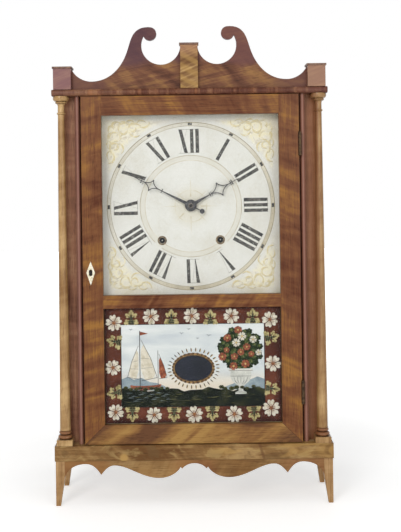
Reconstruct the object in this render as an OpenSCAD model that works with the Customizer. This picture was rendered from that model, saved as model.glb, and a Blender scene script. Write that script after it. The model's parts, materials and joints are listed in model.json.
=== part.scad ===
// Pillar-and-scroll shelf clock with a thirty-hour wooden movement.
// +Z is up, the front faces -Y, and the origin is the centre of the footprint at the floor.

/* [Case] */
// Depth of the whole case
case_d = 118; // [112:1:140]
// Height of the body between the base and the cornice
body_h = 561.6; // [550:0.2:600]
// Width of the case's face beside the door
jamb_w = 26.4; // [24:0.2:30]
// How far the base reaches past the body at each side
base_reach = 19.5; // [18:0.5:26]
// Thickness of a side board
side_t = 12; // [8:0.5:13]
// Thickness of the back board
back_t = 8; // [5:0.5:9]
// How far the side boards stand behind the front of the base
side_setback = 35.5; // [34:0.5:38]

/* [Base] */
// Height of the feet and skirts
foot_h = 72; // [66:1:90]
// Height of the base rail
band_h = 24; // [18:1:32]
// Thickness of the base rail
band_t = 14; // [10:0.5:15]
// How far the base rail stands proud of the feet
band_lip = 1.1; // [0.5:0.1:2]
// Thickness of the front skirt
skirt_t = 10; // [7:0.5:12]
// How far the skirts stand behind the front of the base rail
skirt_setback = 2; // [1:0.5:3]
// Width of a foot where its taper begins
foot_w = 14.4; // [12:0.2:16]
// Width of a foot at the floor
foot_tip = 7.4; // [5:0.2:9]
// Height at which the feet begin to taper
foot_taper_h = 46; // [40:1:50]
// Thickness of the deck that closes the base
deck_t = 12; // [8:0.5:16]

/* [Columns] */
// Distance of a column's axis from the side of the base
column_inset = 16; // [15:0.5:18]
// Distance of a column's axis from the front of the base
column_setback = 13.5; // [13.2:0.1:14]
// Width of a column's plinth block
plinth_w = 25.6; // [24:0.2:26]
// Height of a column's plinth block
plinth_h = 9.5; // [7:0.5:13]
// Radius of the shaft at its foot
shaft_foot_r = 8.75; // [7:0.25:9]
// Radius of the shaft at its neck
shaft_neck_r = 5.25; // [4:0.25:6]

/* [Cornice and crest] */
// Thickness of the cornice board
cornice_t = 10.4; // [8:0.2:14]
// How far the base rail reaches past the cornice at each side
cornice_inset = 2.2; // [1:0.1:4]
// Height of the crest above the cornice
crest_h = 99.7; // [90:0.1:115]
// Thickness of the crest board
crest_t = 9; // [6:0.5:12]
// Width of a corner plinth
corner_w = 28.4; // [26:0.2:30]
// Height of a corner plinth
corner_h = 33.6; // [30:0.2:40]
// How far the corner plinths stand in from the ends of the cornice
corner_inset = 3; // [2:0.5:5]
// Height of the centre plinth
centre_h = 69.6; // [60:0.2:76]
// Width of the centre plinth
centre_w = 28.2; // [24:0.2:32]
// Thickness of a plinth cap
cap_t = 3.1; // [2:0.1:5]
// How far a cap stands proud of its plinth
cap_lip = 1.5; // [0.5:0.1:2]

/* [Door] */
// Width of the door
door_w = 350; // [330:1:380]
// Thickness of the door
door_t = 15; // [14:0.5:15.5]
// How far the door's face stands behind the front of the base
door_setback = 5; // [4:0.5:6]
// Gap at the sides of the door
door_side_gap = 2.6; // [2.4:0.1:3]
// Gap above and below the door
door_end_gap = 1; // [0.5:0.1:2]
// Width of a door stile
stile_w = 32.3; // [31:0.1:36]
// Height of the top rail
top_rail_h = 31; // [26:0.5:36]
// Height of the rail between the dial and the tablet
middle_rail_h = 20.8; // [16:0.2:26]
// Height of the bottom rail
bottom_rail_h = 31; // [26:0.2:40]
// Height of the tablet opening
tablet_h = 187.2; // [180:0.2:192]
// Depth of the wood in front of a pane
glass_lip = 8; // [6:0.5:9]
// Width of the rabbet that holds a pane
rabbet_w = 4; // [3:0.2:5]
// Thickness of a pane
glass_t = 2; // [1.5:0.1:3]
// Length of a door tenon
tenon_l = 12; // [8:0.5:14]

/* [Dial and hands] */
// How far the dial board reaches past the opening at each side
dial_lap = 10.3; // [8:0.1:10.5]
// How far the dial board reaches past the opening above and below
dial_end_lap = 6.2; // [5:0.1:8]
// How far the hands' centre lies below the middle of the opening
dial_drop = 2; // [0:0.2:4]
// Thickness of the dial board
dial_t = 6; // [4:0.5:6.5]
// Length of the minute hand from the centre
minute_len = 112; // [100:1:118]
// Length of the hour hand from the centre
hour_len = 90; // [84:1:94]
// Thickness of a hand
hand_t = 1.2; // [0.8:0.1:1.3]
// Where the minute hand points, in degrees clockwise from twelve
minute_angle = 297.5; // [0:0.5:359.5]
// Where the hour hand points, in degrees clockwise from twelve
hour_angle = 61; // [0:0.5:359.5]

/* [Movement] */
// Width of the movement plates
plate_w = 184; // [180:1:200]
// Height of the movement plates
plate_h = 205; // [203:1:210]
// Thickness of the front plate
front_plate_t = 7; // [5:0.5:8]
// Thickness of the back plate
back_plate_t = 6; // [4:0.5:6.5]
// Space between the plates
plate_gap = 32; // [32:0.1:32.6]
// Distance of a winding arbor from the centre line
wind_x = 47.5; // [46.5:0.1:48]
// Depth of the winding arbors below the hands' centre
wind_drop = 56.8; // [56:0.1:57]
// Radius of a cord barrel
barrel_r = 10; // [8:0.5:11]
// Length of the pendulum from its hinge to the bob's centre
pendulum_len = 358; // [340:1:370]
// Radius of the pendulum bob
bob_r = 22; // [16:0.5:26]
// Radial running clearance of every arbor in its hole
run_gap = 0.08; // [0.05:0.01:0.1]

/* [Weights] */
// Width of a weight
weight_w = 30; // [24:1:32]
// Depth of a weight
weight_d = 44; // [36:1:50]
// Height of a weight
weight_h = 150; // [120:1:170]
// Radius at the bottom of a pulley's groove
pulley_r = 13; // [12:0.1:13.2]
// Diameter of the weight cord
cord_d = 1.8; // [1.2:0.1:2.2]

/* [Hidden] */
$fn = 64;

// Depths, from the front of the base to the back
front_y = -case_d / 2;
back_y = case_d / 2;
back_face_y = back_y - back_t;
side_front_y = front_y + side_setback;
door_y = front_y + door_setback;
door_back_y = door_y + door_t;
glass_y = door_y + glass_lip;
glass_back_y = glass_y + glass_t;
door_stop_gap = 0.4;
stop_y = door_back_y + door_stop_gap;
jamb_face_t = 8;
jamb_face_y = side_front_y - jamb_face_t;
dial_y = jamb_face_y + 7.5;
dial_back_y = dial_y + dial_t;

// Heights
deck_z = foot_h + band_h;
body_top_z = deck_z + body_h;
crest_z = body_top_z + cornice_t;
door_z = deck_z + door_end_gap;
door_h = body_h - 2 * door_end_gap;
door_top_z = door_z + door_h;
tablet_z = door_z + bottom_rail_h;
tablet_top_z = tablet_z + tablet_h;
dial_open_z = tablet_top_z + middle_rail_h;
dial_open_top_z = door_top_z - top_rail_h;
centre_z = (dial_open_z + dial_open_top_z) / 2 - dial_drop;
dial_h = dial_open_top_z - dial_open_z + 2 * dial_end_lap;
dial_bottom_z = dial_open_z - dial_end_lap;

// Widths
open_half = door_w / 2 - stile_w;
body_w = door_w + 2 * (door_side_gap + jamb_w);
case_w = body_w + 2 * base_reach;
dial_w = 2 * (open_half + dial_lap);
jamb_x = door_w / 2 + door_side_gap;
side_inner_x = body_w / 2 - side_t;
column_x = case_w / 2 - column_inset;
column_y = front_y + column_setback;
skirt_y = front_y + skirt_setback;
foot_outer_x = case_w / 2 - band_lip;
foot_inner_x = foot_outer_x - foot_w;

// Movement arbors, as [x, height above the hands' centre]
going_great_n = 84;
second_n = 60;
third_n = 42;
pin_n = 60;
second_pinion_n = 7;
third_pinion_n = 8;
cannon_n = 12;
minute_n = 36;
minute_pinion_n = 10;
hour_n = 40;
drive_n = 14;
centre_n = 28;
escape_n = 38;
train_m = 1;
pin_m = 0.9;
drive_m = 1.5;
motion_m = 1;
hour_m = motion_m * (cannon_n + minute_n) / (minute_pinion_n + hour_n);
centre = [0, 0];
going_pos = [wind_x, -wind_drop];
drive_dist = drive_m * (drive_n + centre_n) / 2;
great_dist = train_m * (going_great_n + second_pinion_n) / 2;
second_pos = meet(centre, drive_dist, going_pos, great_dist);
third_dist = train_m * (second_n + third_pinion_n) / 2;
escape_dist = train_m * (third_n + third_pinion_n) / 2;
third_pos = [12.66, second_pos[1] + sqrt(pow(third_dist, 2) - pow(second_pos[0] - 12.66, 2))];
escape_pos = [0, third_pos[1] + sqrt(pow(escape_dist, 2) - pow(third_pos[0], 2))];
minute_pos = [0, -motion_m * (cannon_n + minute_n) / 2];
strike_pos = mirrored(going_pos);
pin_pos = mirrored(second_pos);
fly_dist = pin_m * (pin_n + third_pinion_n) / 2;
fly_pos = [-37.5, pin_pos[1] + sqrt(pow(fly_dist, 2) - pow(-37.5 - pin_pos[0], 2))];
verge_rise = 24;
verge_pos = [0, escape_pos[1] + verge_rise];
hang_pos = [0, 95];
hammer_pos = [-20, 75];

// Movement depths
front_plate_y = dial_back_y + 14;
inner_y = front_plate_y + front_plate_t;
back_plate_y = inner_y + plate_gap;
back_plate_back_y = back_plate_y + back_plate_t;
arbor_back_y = back_plate_back_y - 1;
arbor_front_y = front_plate_y + 1;
escape_y = inner_y + 2.5;
second_y = inner_y + 8;
pin_wheel_y = inner_y + 13;
third_y = inner_y + 18;
barrel_y = inner_y + 12;
barrel_l = 12;
great_y = inner_y + 25;
great_t = 5.5;
cord_y = barrel_y + barrel_l / 2;
rod_y = back_plate_back_y + 3.5;
minute_hand_y = dial_y - 9.4;
hour_hand_y = dial_y - 6.2;
wind_arbor_r = 3;
arbor_r = 2.5;
thin_arbor_r = 1.6;
minute_arbor_r = 2.6;
hour_pipe_r = 4.2;
plate_top = plate_h / 2 - 1.5;
seat_z = centre_z + plate_top - plate_h;
post_in = [8, 8.5];

// Pulleys and cords
cord_r = cord_d / 2;
slack = 0.2;
pulley_cord_r = pulley_r + cord_r + slack;
barrel_cord_r = barrel_r + cord_r + slack;
pulley_inset = 34;
pulley_x = side_inner_x - pulley_inset;
pulley_z = body_top_z - 22.6;
fall_x = pulley_x + pulley_cord_r;
weight_z = deck_z + 2;
weight_eye_h = 14;
partition_x = pulley_x - 10;
partition_t = 6;
partition_h = pulley_z - 35 - deck_z;
seat_t = 10;

function mirrored(p) = [-p[0], p[1]];
function bez(a, b, c, d, n = 16) = [
    for (i = [1 : n]) let (t = i / n, s = 1 - t)
        s * s * s * a + 3 * s * s * t * b + 3 * s * t * t * c + t * t * t * d
];
// The lower-right crossing of two circles, where an arbor meets two others
function meet(p, rp, q, rq) =
    let (
        d = norm(q - p),
        along = (rp * rp - rq * rq + d * d) / (2 * d),
        off = sqrt(rp * rp - along * along),
        u = (q - p) / d
    ) p + along * u + off * [-u[1], u[0]];
// Tooth outline: each tooth runs root, tip, tip, root
function gear_points(n, m, turn) = [
    for (i = [0 : n - 1])
        for (c = [[-0.24, -1.1], [-0.1, 0.7], [0.1, 0.7], [0.24, -1.1]])
            let (a = turn + (i + c[0]) * 360 / n, r = m * (n / 2 + c[1]))
                r * [cos(a), sin(a)]
];
// Turn of a second gear that puts a gap of its own at a tooth of the first
function mesh_turn(n1, turn1, p1, n2, p2) =
    let (a = atan2(p2[1] - p1[1], p2[0] - p1[0]))
        a + 180 + (180 - (turn1 - a) * n1) / n2;

module both() {
    children();
    mirror([1, 0, 0]) children();
}
// Extrudes a front view (x, z) from y0 to y1
module front_view(y0, y1) {
    translate([0, y1, 0]) rotate([90, 0, 0]) linear_extrude(y1 - y0) children();
}
module box(low, high) {
    translate(low) cube(high - low);
}
module rod(p, r, y0, y1) {
    translate([p[0], y1, p[1]]) rotate([90, 0, 0]) cylinder(h = y1 - y0, r = r);
}
// An arbor of the movement, placed from the hands' centre
module arbor(p, r, y0, y1) {
    rod(p + [0, centre_z], r, y0, y1);
}
module gear(p, n, m, y0, y1, turn = 0) {
    translate([p[0], 0, p[1] + centre_z]) front_view(y0, y1) polygon(gear_points(n, m, turn));
}

// ---- Base ----
skirt_draft_half = 208;
skirt_draft_h = 72;
function skirt_edge() =
    let (kx = foot_inner_x / skirt_draft_half, kz = foot_h / skirt_draft_h) [
        for (p = concat(
            [[0, 66.1]],
            bez([0, 66.1], [8, 66.1], [15, 63], [19.5, 57.5], 6),
            [[22, 60.2]],
            bez([22, 60.2], [27, 51], [40, 43], [56, 43], 10),
            bez([56, 43], [84, 43], [106, 64], [128, 64]),
            bez([128, 64], [138, 64], [144, 56], [149.5, 49.3], 8),
            bez([149.5, 49.3], [155, 57], [161, 66.8], [174, 66.8], 8),
            bez([174, 66.8], [190, 66.8], [203, 60], [208, foot_taper_h / kz], 10)
        )) [p[0] * kx, p[1] * kz]
    ];
module front_skirt() {
    color("#8a4a2b") both() front_view(skirt_y, skirt_y + skirt_t)
        polygon(concat(skirt_edge(), [[foot_inner_x, foot_h], [0, foot_h]]));
}
// Front view of one tapering foot under its share of the skirt
module foot_front_shape() {
    tip_x = foot_outer_x - foot_tip;
    polygon(concat(
        [[foot_outer_x, 0], [foot_outer_x, foot_h], [foot_inner_x, foot_h]],
        [[foot_inner_x, foot_taper_h]],
        bez([foot_inner_x, foot_taper_h],
            [foot_inner_x + 2, foot_taper_h * 0.72],
            [tip_x - 2.2, foot_taper_h * 0.34], [tip_x, 0], 10)
    ));
}
// Side view, as [distance from the skirt's front, height], up to the middle
function side_skirt_half(half) = concat(
    [[0, 0], [foot_tip, 0]],
    bez([foot_tip, 0], [foot_tip + 2.2, foot_taper_h * 0.34],
        [foot_w - 2, foot_taper_h * 0.72], [foot_w, foot_taper_h], 8),
    bez([foot_w, foot_taper_h], [foot_w + 4, foot_h - 13], [foot_w + 12, foot_h - 7],
        [half - 22, foot_h - 7], 8),
    bez([half - 22, foot_h - 7], [half - 12, foot_h - 7], [half - 6, foot_h - 13],
        [half, foot_h - 20], 6)
);
module side_skirts() {
    half = (back_y - skirt_y) / 2;
    color("#9a6a3a") both() intersection() {
        front_view(skirt_y, back_y) foot_front_shape();
        translate([foot_inner_x - 1, skirt_y, 0]) rotate([90, 0, 90]) linear_extrude(foot_w + 2)
            polygon(concat(
                side_skirt_half(half),
                [for (i = [len(side_skirt_half(half)) - 2 : -1 : 0])
                    [2 * half - side_skirt_half(half)[i][0], side_skirt_half(half)[i][1]]],
                [[2 * half, foot_h], [0, foot_h]]
            ));
    }
}
module base_front_rail() {
    color("#7d4f30") box([-case_w / 2, front_y, foot_h], [case_w / 2, front_y + band_t, deck_z]);
}
module base_side_rails() {
    color("#7a4c2e") both()
        box([case_w / 2 - band_t, front_y + band_t, foot_h], [case_w / 2, back_y, deck_z]);
}
module base_deck() {
    color("#9c7a50") box(
        [-case_w / 2 + band_t, front_y + band_t, deck_z - deck_t],
        [case_w / 2 - band_t, back_y, deck_z]
    );
}

// ---- Columns ----
module column_plinths() {
    color("#a5813f") both() translate([column_x - plinth_w / 2, column_y - plinth_w / 2, deck_z])
        cube([plinth_w, plinth_w, plinth_h]);
}
// Half-round moulding on a turned piece, from its lower to its upper edge
function bead(r, z0, z1, n = 8) = [
    for (i = [0 : n]) let (a = -90 + 180 * i / n, h = (z1 - z0) / 2)
        [r - h + h * cos(a), z0 + h + h * sin(a)]
];
function column_profile(h) = concat(
    [[0, 0], [10.6, 0]],
    bead(11.6, 0.5, 7),
    [[shaft_foot_r + 0.3, 7.4]],
    bead(10, 7.8, 13.4),
    [[shaft_foot_r + 0.3, 13.8], [shaft_foot_r, 16]],
    [for (i = [1 : 10]) let (t = i / 10)
        [shaft_foot_r + (shaft_neck_r - shaft_foot_r) * (0.75 * t + 0.25 * t * t),
         16 + t * (h - 46)]],
    [[shaft_neck_r + 0.4, h - 29.6]],
    bead(7, h - 29.2, h - 26),
    [[shaft_neck_r + 0.1, h - 25.6], [shaft_neck_r, h - 16]],
    [for (i = [1 : 6]) let (a = 90 * i / 6)
        [shaft_neck_r + 3.4 * (1 - cos(a)), h - 16 + 4.2 * sin(a)]],
    bead(9.4, h - 11.4, h - 8.6),
    [[9, h - 8.2]],
    [for (i = [1 : 6]) let (a = 90 * i / 6) [9 + 3.8 * sin(a), h - 3.6 - 4.6 * cos(a)]],
    [[12.9, h - 3], [12.4, h]],
    [[0, h]]
);
module columns() {
    h = body_top_z - deck_z - plinth_h;
    color("#b98d4c") both() translate([column_x, column_y, deck_z + plinth_h])
        rotate_extrude() polygon(column_profile(h));
}

// ---- Body ----
jamb_bead_w = 8.4;
stop_w = 12.6;
// Side boards, with the strips that the door closes against
module side_boards() {
    color("#74462b") both() {
        box([side_inner_x, side_front_y, deck_z], [body_w / 2, back_face_y, body_top_z]);
        box([jamb_x - stop_w, stop_y, deck_z], [jamb_x, side_front_y, body_top_z]);
    }
}
module jamb_section() {
    bead_r = jamb_bead_w / 2;
    bead_y = stop_y - 4.4;
    polygon(concat(
        [[jamb_x, side_front_y]],
        [for (i = [0 : 10]) let (a = 180 + 18 * i)
            [jamb_x + bead_r + bead_r * cos(a), bead_y + bead_r * sin(a)]],
        [[jamb_x + jamb_bead_w, jamb_face_y], [body_w / 2, jamb_face_y]],
        [[body_w / 2, side_front_y]]
    ));
}
module jambs() {
    color("#6e3a26") {
        translate([0, 0, deck_z]) linear_extrude(body_h) jamb_section();
        difference() {
            mirror([1, 0, 0]) translate([0, 0, deck_z]) linear_extrude(body_h) jamb_section();
            box(
                [-jamb_x - bolt_throw, bolt_y - mortise_gap, lock_z - bolt_h / 2 - mortise_gap],
                [-jamb_x + 1, bolt_y + bolt_t + mortise_gap, lock_z + bolt_h / 2 + mortise_gap]
            );
        }
    }
}
module back_board() {
    color("#8f7048") box([-body_w / 2, back_face_y, deck_z], [body_w / 2, back_y, body_top_z]);
}

// ---- Cornice and crest ----
module cornice_board() {
    nose = cornice_t / 2;
    half = case_w / 2 - cornice_inset;
    color("#7b4428") {
        box([-half, front_y + 0.5 + nose, body_top_z], [half, back_y, crest_z]);
        intersection() {
            translate([-half, front_y + 0.5 + nose, body_top_z + nose]) rotate([0, 90, 0])
                cylinder(h = 2 * half, r = nose);
            box([-half, front_y, body_top_z], [half, front_y + 0.5 + nose, crest_z]);
        }
    }
}
corner_outer_x = case_w / 2 - cornice_inset - corner_inset;
corner_x = corner_outer_x - corner_w;
corner_y = front_y + 2;
crest_y = front_y + 13;
crest_draft_half = 189.9;
crest_draft_h = 99.7;
module crest_half() {
    kx = corner_x / crest_draft_half;
    kz = crest_h / crest_draft_h;
    scale([kx, kz]) {
        difference() {
            polygon(concat(
                [[0, 0], [crest_draft_half, 0], [crest_draft_half, 32.8]],
                bez([189.9, 32.8], [184, 22], [172, 13.1], [157.6, 13.1], 12),
                bez([157.6, 13.1], [128, 13.1], [109, 35], [100.3, 59.2]),
                bez([100.3, 59.2], [93.5, 78], [92, 99.7], [66, 99.7], 12),
                [[62.8, 99.5], [62.8, 88.9], [14.1, 69.6], [0, 69.6]]
            ));
            translate([45.3, 70.4]) circle(r = 31.5);
        }
        translate([62.8, 88.9]) circle(r = 10.6);
    }
}
module crest_board() {
    color("#7a4a30") translate([0, 0, crest_z]) front_view(crest_y, crest_y + crest_t) both() crest_half();
}
module crest_plinths() {
    color("#8a5233") both()
        box([corner_x, corner_y, crest_z], [corner_outer_x, corner_y + corner_w, crest_z + corner_h]);
    color("#a47243")
        box([-centre_w / 2, front_y + 4, crest_z], [centre_w / 2, crest_y, crest_z + centre_h]);
}
module crest_caps() {
    color("#6b4732") both()
        box([corner_x - cap_lip, corner_y - cap_lip, crest_z + corner_h],
            [corner_outer_x + cap_lip, corner_y + corner_w + cap_lip, crest_z + corner_h + cap_t]);
    color("#6b4732")
        box([-centre_w / 2 - cap_lip, front_y + 4 - cap_lip, crest_z + centre_h],
            [centre_w / 2 + cap_lip, crest_y + crest_t + cap_lip, crest_z + centre_h + cap_t]);
}

// ---- Inside the case ----
module weight_partitions() {
    color("#a88a5c") both()
        box([partition_x, dial_back_y, deck_z],
            [partition_x + partition_t, back_face_y, deck_z + partition_h]);
}
cleat_x = dial_w / 2 + 1;
cleat_w = jamb_x - stop_w - cleat_x;
cleat_d = 12;
sill_h = 8;
module inner_rails() {
    color("#a88a5c") {
        both() box([cleat_x, dial_y, dial_bottom_z - sill_h],
            [cleat_x + cleat_w, dial_y + cleat_d, body_top_z]);
        box([-cleat_x, dial_y, dial_bottom_z - sill_h], [cleat_x, dial_back_y, dial_bottom_z]);
        box([-partition_x, front_plate_y, seat_z - seat_t], [partition_x, back_plate_y + 3, seat_z]);
    }
}
dial_hole_r = 5;
module dial_board() {
    color("#e6e2d2") difference() {
        box([-dial_w / 2, dial_y, dial_bottom_z], [dial_w / 2, dial_back_y, dial_bottom_z + dial_h]);
        arbor(centre, hour_pipe_r + 0.8, dial_y - 1, dial_back_y + 1);
        for (p = [going_pos, strike_pos]) arbor(p, dial_hole_r, dial_y - 1, dial_back_y + 1);
    }
}

// ---- Door ----
tenon_t = 5;
tenon_shoulder = 4;
tenon_gap = 0.1;
rail_zs = [
    [door_z, bottom_rail_h],
    [tablet_top_z, middle_rail_h],
    [dial_open_top_z, top_rail_h]
];
module tenon(z, h, gap) {
    box(
        [open_half, door_y + 2, z + tenon_shoulder - gap],
        [open_half + tenon_l + gap, door_y + 2 + tenon_t + gap, z + h - tenon_shoulder + gap]
    );
}
// Space behind the lip of both openings, where the panes lie
module rabbets() {
    for (z = [[tablet_z, tablet_top_z], [dial_open_z, dial_open_top_z]])
        box([-open_half - rabbet_w, glass_y, z[0] - rabbet_w],
            [open_half + rabbet_w, door_back_y + 1, z[1] + rabbet_w]);
}
module stile() {
    difference() {
        box([open_half, door_y, door_z], [door_w / 2, door_back_y, door_top_z]);
        for (r = rail_zs) tenon(r[0], r[1], tenon_gap);
        rabbets();
    }
}
lock_z = centre_z - 105.4;
lock_x = -door_w / 2 + 12.7;
lock_w = 24;
lock_h = 40;
lock_d = 6;
lock_edge = 2;
bolt_t = 3;
bolt_h = 10;
bolt_l = 20;
bolt_gap = 0.3;
mortise_gap = 0.7;
bolt_throw = 7;
bolt_y = door_back_y - lock_d + 1.5;
keyhole_r = 2.85;
keyhole_drop = 2.5;
module keyhole(y0, y1) {
    for (s = [-1, 1]) rod([lock_x, lock_z + s * keyhole_drop], keyhole_r, y0, y1);
    box([lock_x - keyhole_r, y0, lock_z - keyhole_drop], [lock_x + keyhole_r, y1, lock_z + keyhole_drop]);
}
module bolt_way(gap) {
    box(
        [-door_w / 2 - 1, bolt_y - gap, lock_z - bolt_h / 2 - gap],
        [-door_w / 2 + bolt_l + 1, bolt_y + bolt_t + gap, lock_z + bolt_h / 2 + gap]
    );
}
// The lock's body, or the recess for it when it runs past the door's back
module lock_block(past) {
    box(
        [-door_w / 2 + lock_edge, door_back_y - lock_d, lock_z - lock_h / 2],
        [-door_w / 2 + lock_edge + lock_w, door_back_y + past, lock_z + lock_h / 2]
    );
}
module door_left_stile() {
    color("#8d4f2c") difference() {
        mirror([1, 0, 0]) stile();
        lock_block(1);
        bolt_way(bolt_gap);
        keyhole(door_y - 1, door_back_y);
    }
}
module door_right_stile() {
    color("#8d4f2c") difference() {
        stile();
        for (z = hinge_zs) translate([hinge_x, hinge_y, z - hinge_l / 2 - 0.5])
            cylinder(h = hinge_l + 1, r = knuckle_r + 0.4);
    }
}
module door_rail(i) {
    difference() {
        union() {
            box([-open_half, door_y, rail_zs[i][0]], [open_half, door_back_y, rail_zs[i][0] + rail_zs[i][1]]);
            both() tenon(rail_zs[i][0], rail_zs[i][1], 0);
        }
        rabbets();
    }
}
module door_bottom_rail() { color("#85502f") door_rail(0); }
module door_middle_rail() { color("#85502f") door_rail(1); }
module door_top_rail() { color("#85502f") door_rail(2); }
pane_gap = 0.3;
module pane(z0, z1) {
    grow = rabbet_w - pane_gap;
    box([-open_half - grow, glass_y, z0 - grow], [open_half + grow, glass_back_y, z1 + grow]);
}
module dial_glass() { color("#cfe0e0", 0.35) pane(dial_open_z, dial_open_top_z); }
module tablet_glass() { color("#8a6a50") pane(tablet_z, tablet_top_z); }
strip_t = 3;
module glazing_strips() {
    color("#b9a884") for (z = [[tablet_z, tablet_top_z], [dial_open_z, dial_open_top_z]]) difference() {
        box([-open_half - rabbet_w, glass_back_y, z[0] - rabbet_w],
            [open_half + rabbet_w, glass_back_y + strip_t, z[1] + rabbet_w]);
        box([-open_half, glass_back_y - 1, z[0]], [open_half, glass_back_y + strip_t + 1, z[1]]);
    }
}
escutcheon_t = 0.8;
module escutcheon() {
    color("#efe6c8") difference() {
        translate([lock_x, 0, lock_z]) front_view(door_y - escutcheon_t, door_y)
            polygon([[0, 18.1], [-6.9, 0], [0, -20.1], [6.9, 0]]);
        keyhole(door_y - 2, door_y + 1);
    }
}
module lock_case() {
    color("#8d7a4a") difference() {
        lock_block(0);
        bolt_way(bolt_gap);
        keyhole(door_back_y - lock_d - 1, bolt_y + bolt_t + bolt_gap);
    }
}
module lock_bolt() {
    color("#a08c58") difference() {
        box(
            [-door_w / 2 + 0.4, bolt_y, lock_z - bolt_h / 2],
            [-door_w / 2 + 0.4 + bolt_l - bolt_throw, bolt_y + bolt_t, lock_z + bolt_h / 2]
        );
        box(
            [lock_x - 1.6, bolt_y - 1, lock_z - bolt_h / 2 - 1],
            [lock_x + 1.6, bolt_y + bolt_t + 1, lock_z - bolt_h / 2 + 3.5]
        );
    }
}
knuckle_r = 2.4;
pin_r = 1;
leaf_t = 1.1;
leaf_l = 11;
hinge_l = 38;
hinge_x = (door_w / 2 + jamb_x) / 2;
hinge_y = door_y;
hinge_zs = [door_z + 80, door_top_z - 80];
knuckle_n = 3;
knuckle_l = hinge_l / knuckle_n;
knuckle_gap = 0.15;
module knuckle(z, i) {
    translate([hinge_x, hinge_y, z - hinge_l / 2 + i * knuckle_l + knuckle_gap])
        cylinder(h = knuckle_l - 2 * knuckle_gap, r = knuckle_r);
}
// Leaf with its plate at x0..x0+leaf_t and arms to the knuckles listed
module leaf(z, x0, knuckles) {
    box([x0, hinge_y + knuckle_r + 0.5, z - hinge_l / 2],
        [x0 + leaf_t, hinge_y + knuckle_r + leaf_l, z + hinge_l / 2]);
    for (i = knuckles) {
        knuckle(z, i);
        box(
            [x0, hinge_y, z - hinge_l / 2 + i * knuckle_l + knuckle_gap],
            [x0 + leaf_t, hinge_y + knuckle_r + 1, z - hinge_l / 2 + (i + 1) * knuckle_l - knuckle_gap]
        );
    }
}
module hinge_case_leaves() {
    color("#a08346") for (z = hinge_zs) {
        leaf(z, jamb_x - leaf_t, [0, 2]);
        translate([hinge_x, hinge_y, z - hinge_l / 2 + knuckle_gap])
            cylinder(h = hinge_l - 2 * knuckle_gap, r = pin_r);
    }
}
module hinge_door_leaves() {
    color("#a08346") for (z = hinge_zs) difference() {
        leaf(z, door_w / 2, [1]);
        translate([hinge_x, hinge_y, z - hinge_l]) cylinder(h = 2 * hinge_l, r = pin_r + run_gap);
    }
}

// ---- Hands ----
line_w = 1.4;
function curve3(a, b, c, n = 6) = [
    for (i = [0 : n]) let (t = i / n, s = 1 - t) s * s * a + 2 * s * t * b + t * t * c
];
function normal_at(path, i) =
    let (d = path[min(i + 1, len(path) - 1)] - path[max(i - 1, 0)]) [-d[1], d[0]] / norm(d);
// Upper half of a small cross bar at distance x along a hand
function tick(x, half) = [[x - 0.7, half], [x - 0.7, 3.4], [x + 0.7, 3.4], [x + 0.7, half]];
// Upper edge of a hand, from the boss to the tip, out round an open diamond
function diamond_side(long, wide, shift) =
    let (path = curve3([-long, 0], 0.24 * [-long, wide], [0, wide])) [
        for (i = [1 : len(path) - 2]) path[i] + shift * normal_at(path, i)
    ];
function flipped(points, sx, sy) = [
    for (i = [len(points) - 1 : -1 : 0]) [sx * points[i][0], sy * points[i][1]]
];
function upper_edge(length, stem_w, near_tick, middle, far_tick, long, wide) =
    let (
        half = line_w / 2,
        side = diamond_side(long, wide, half),
        corner = [[-0.8, wide + 0.9], [0.8, wide + 0.9]]
    ) concat(
        [[0, stem_w]],
        tick(near_tick, half),
        [for (p = concat([[-long - 1.4, half]], side, corner, flipped(side, -1, 1), [[long + 1.4, half]]))
            p + [middle, 0]],
        tick(far_tick, half),
        [[length, 0.35]]
    );
module hand_shape(length, stem_w, near_tick, middle, far_tick, long, wide) {
    edge = upper_edge(length, stem_w, near_tick, middle, far_tick, long, wide);
    side = diamond_side(long, wide, -line_w / 2);
    upper = concat([[-long + 2.4, 0]], side, [[0, wide - 1.6]], flipped(side, -1, 1), [[long - 2.4, 0]]);
    lower = [for (i = [len(upper) - 2 : -1 : 1]) [upper[i][0], -upper[i][1]]];
    difference() {
        polygon(concat(edge, flipped(edge, 1, -1)));
        translate([middle, 0]) polygon(concat(upper, lower));
    }
}
module hour_hand() {
    color("#2f333d") difference() {
        translate([0, 0, centre_z]) front_view(hour_hand_y, hour_hand_y + hand_t) union() {
            rotate(90 - hour_angle) hand_shape(hour_len, 3.6, 36, 54, 74.5, 14.5, 11);
            circle(r = 9.6);
        }
        arbor(centre, hour_pipe_r + 0.02, hour_hand_y - 1, hour_hand_y + hand_t + 1);
    }
}
module minute_hand() {
    tail = 20.6;
    color("#2f333d") difference() {
        translate([0, 0, centre_z]) front_view(minute_hand_y, minute_hand_y + hand_t) {
            rotate(90 - minute_angle) {
                hand_shape(minute_len, 3, 52.8, 72.5, 89.7, 11.5, 9);
                translate([-tail, -0.9]) square([tail, 1.8]);
                translate([-tail, 0]) circle(r = 4);
            }
            circle(r = 7);
        }
        arbor(centre, minute_arbor_r + 0.02, minute_hand_y - 1, minute_hand_y + hand_t + 1);
    }
}

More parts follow.
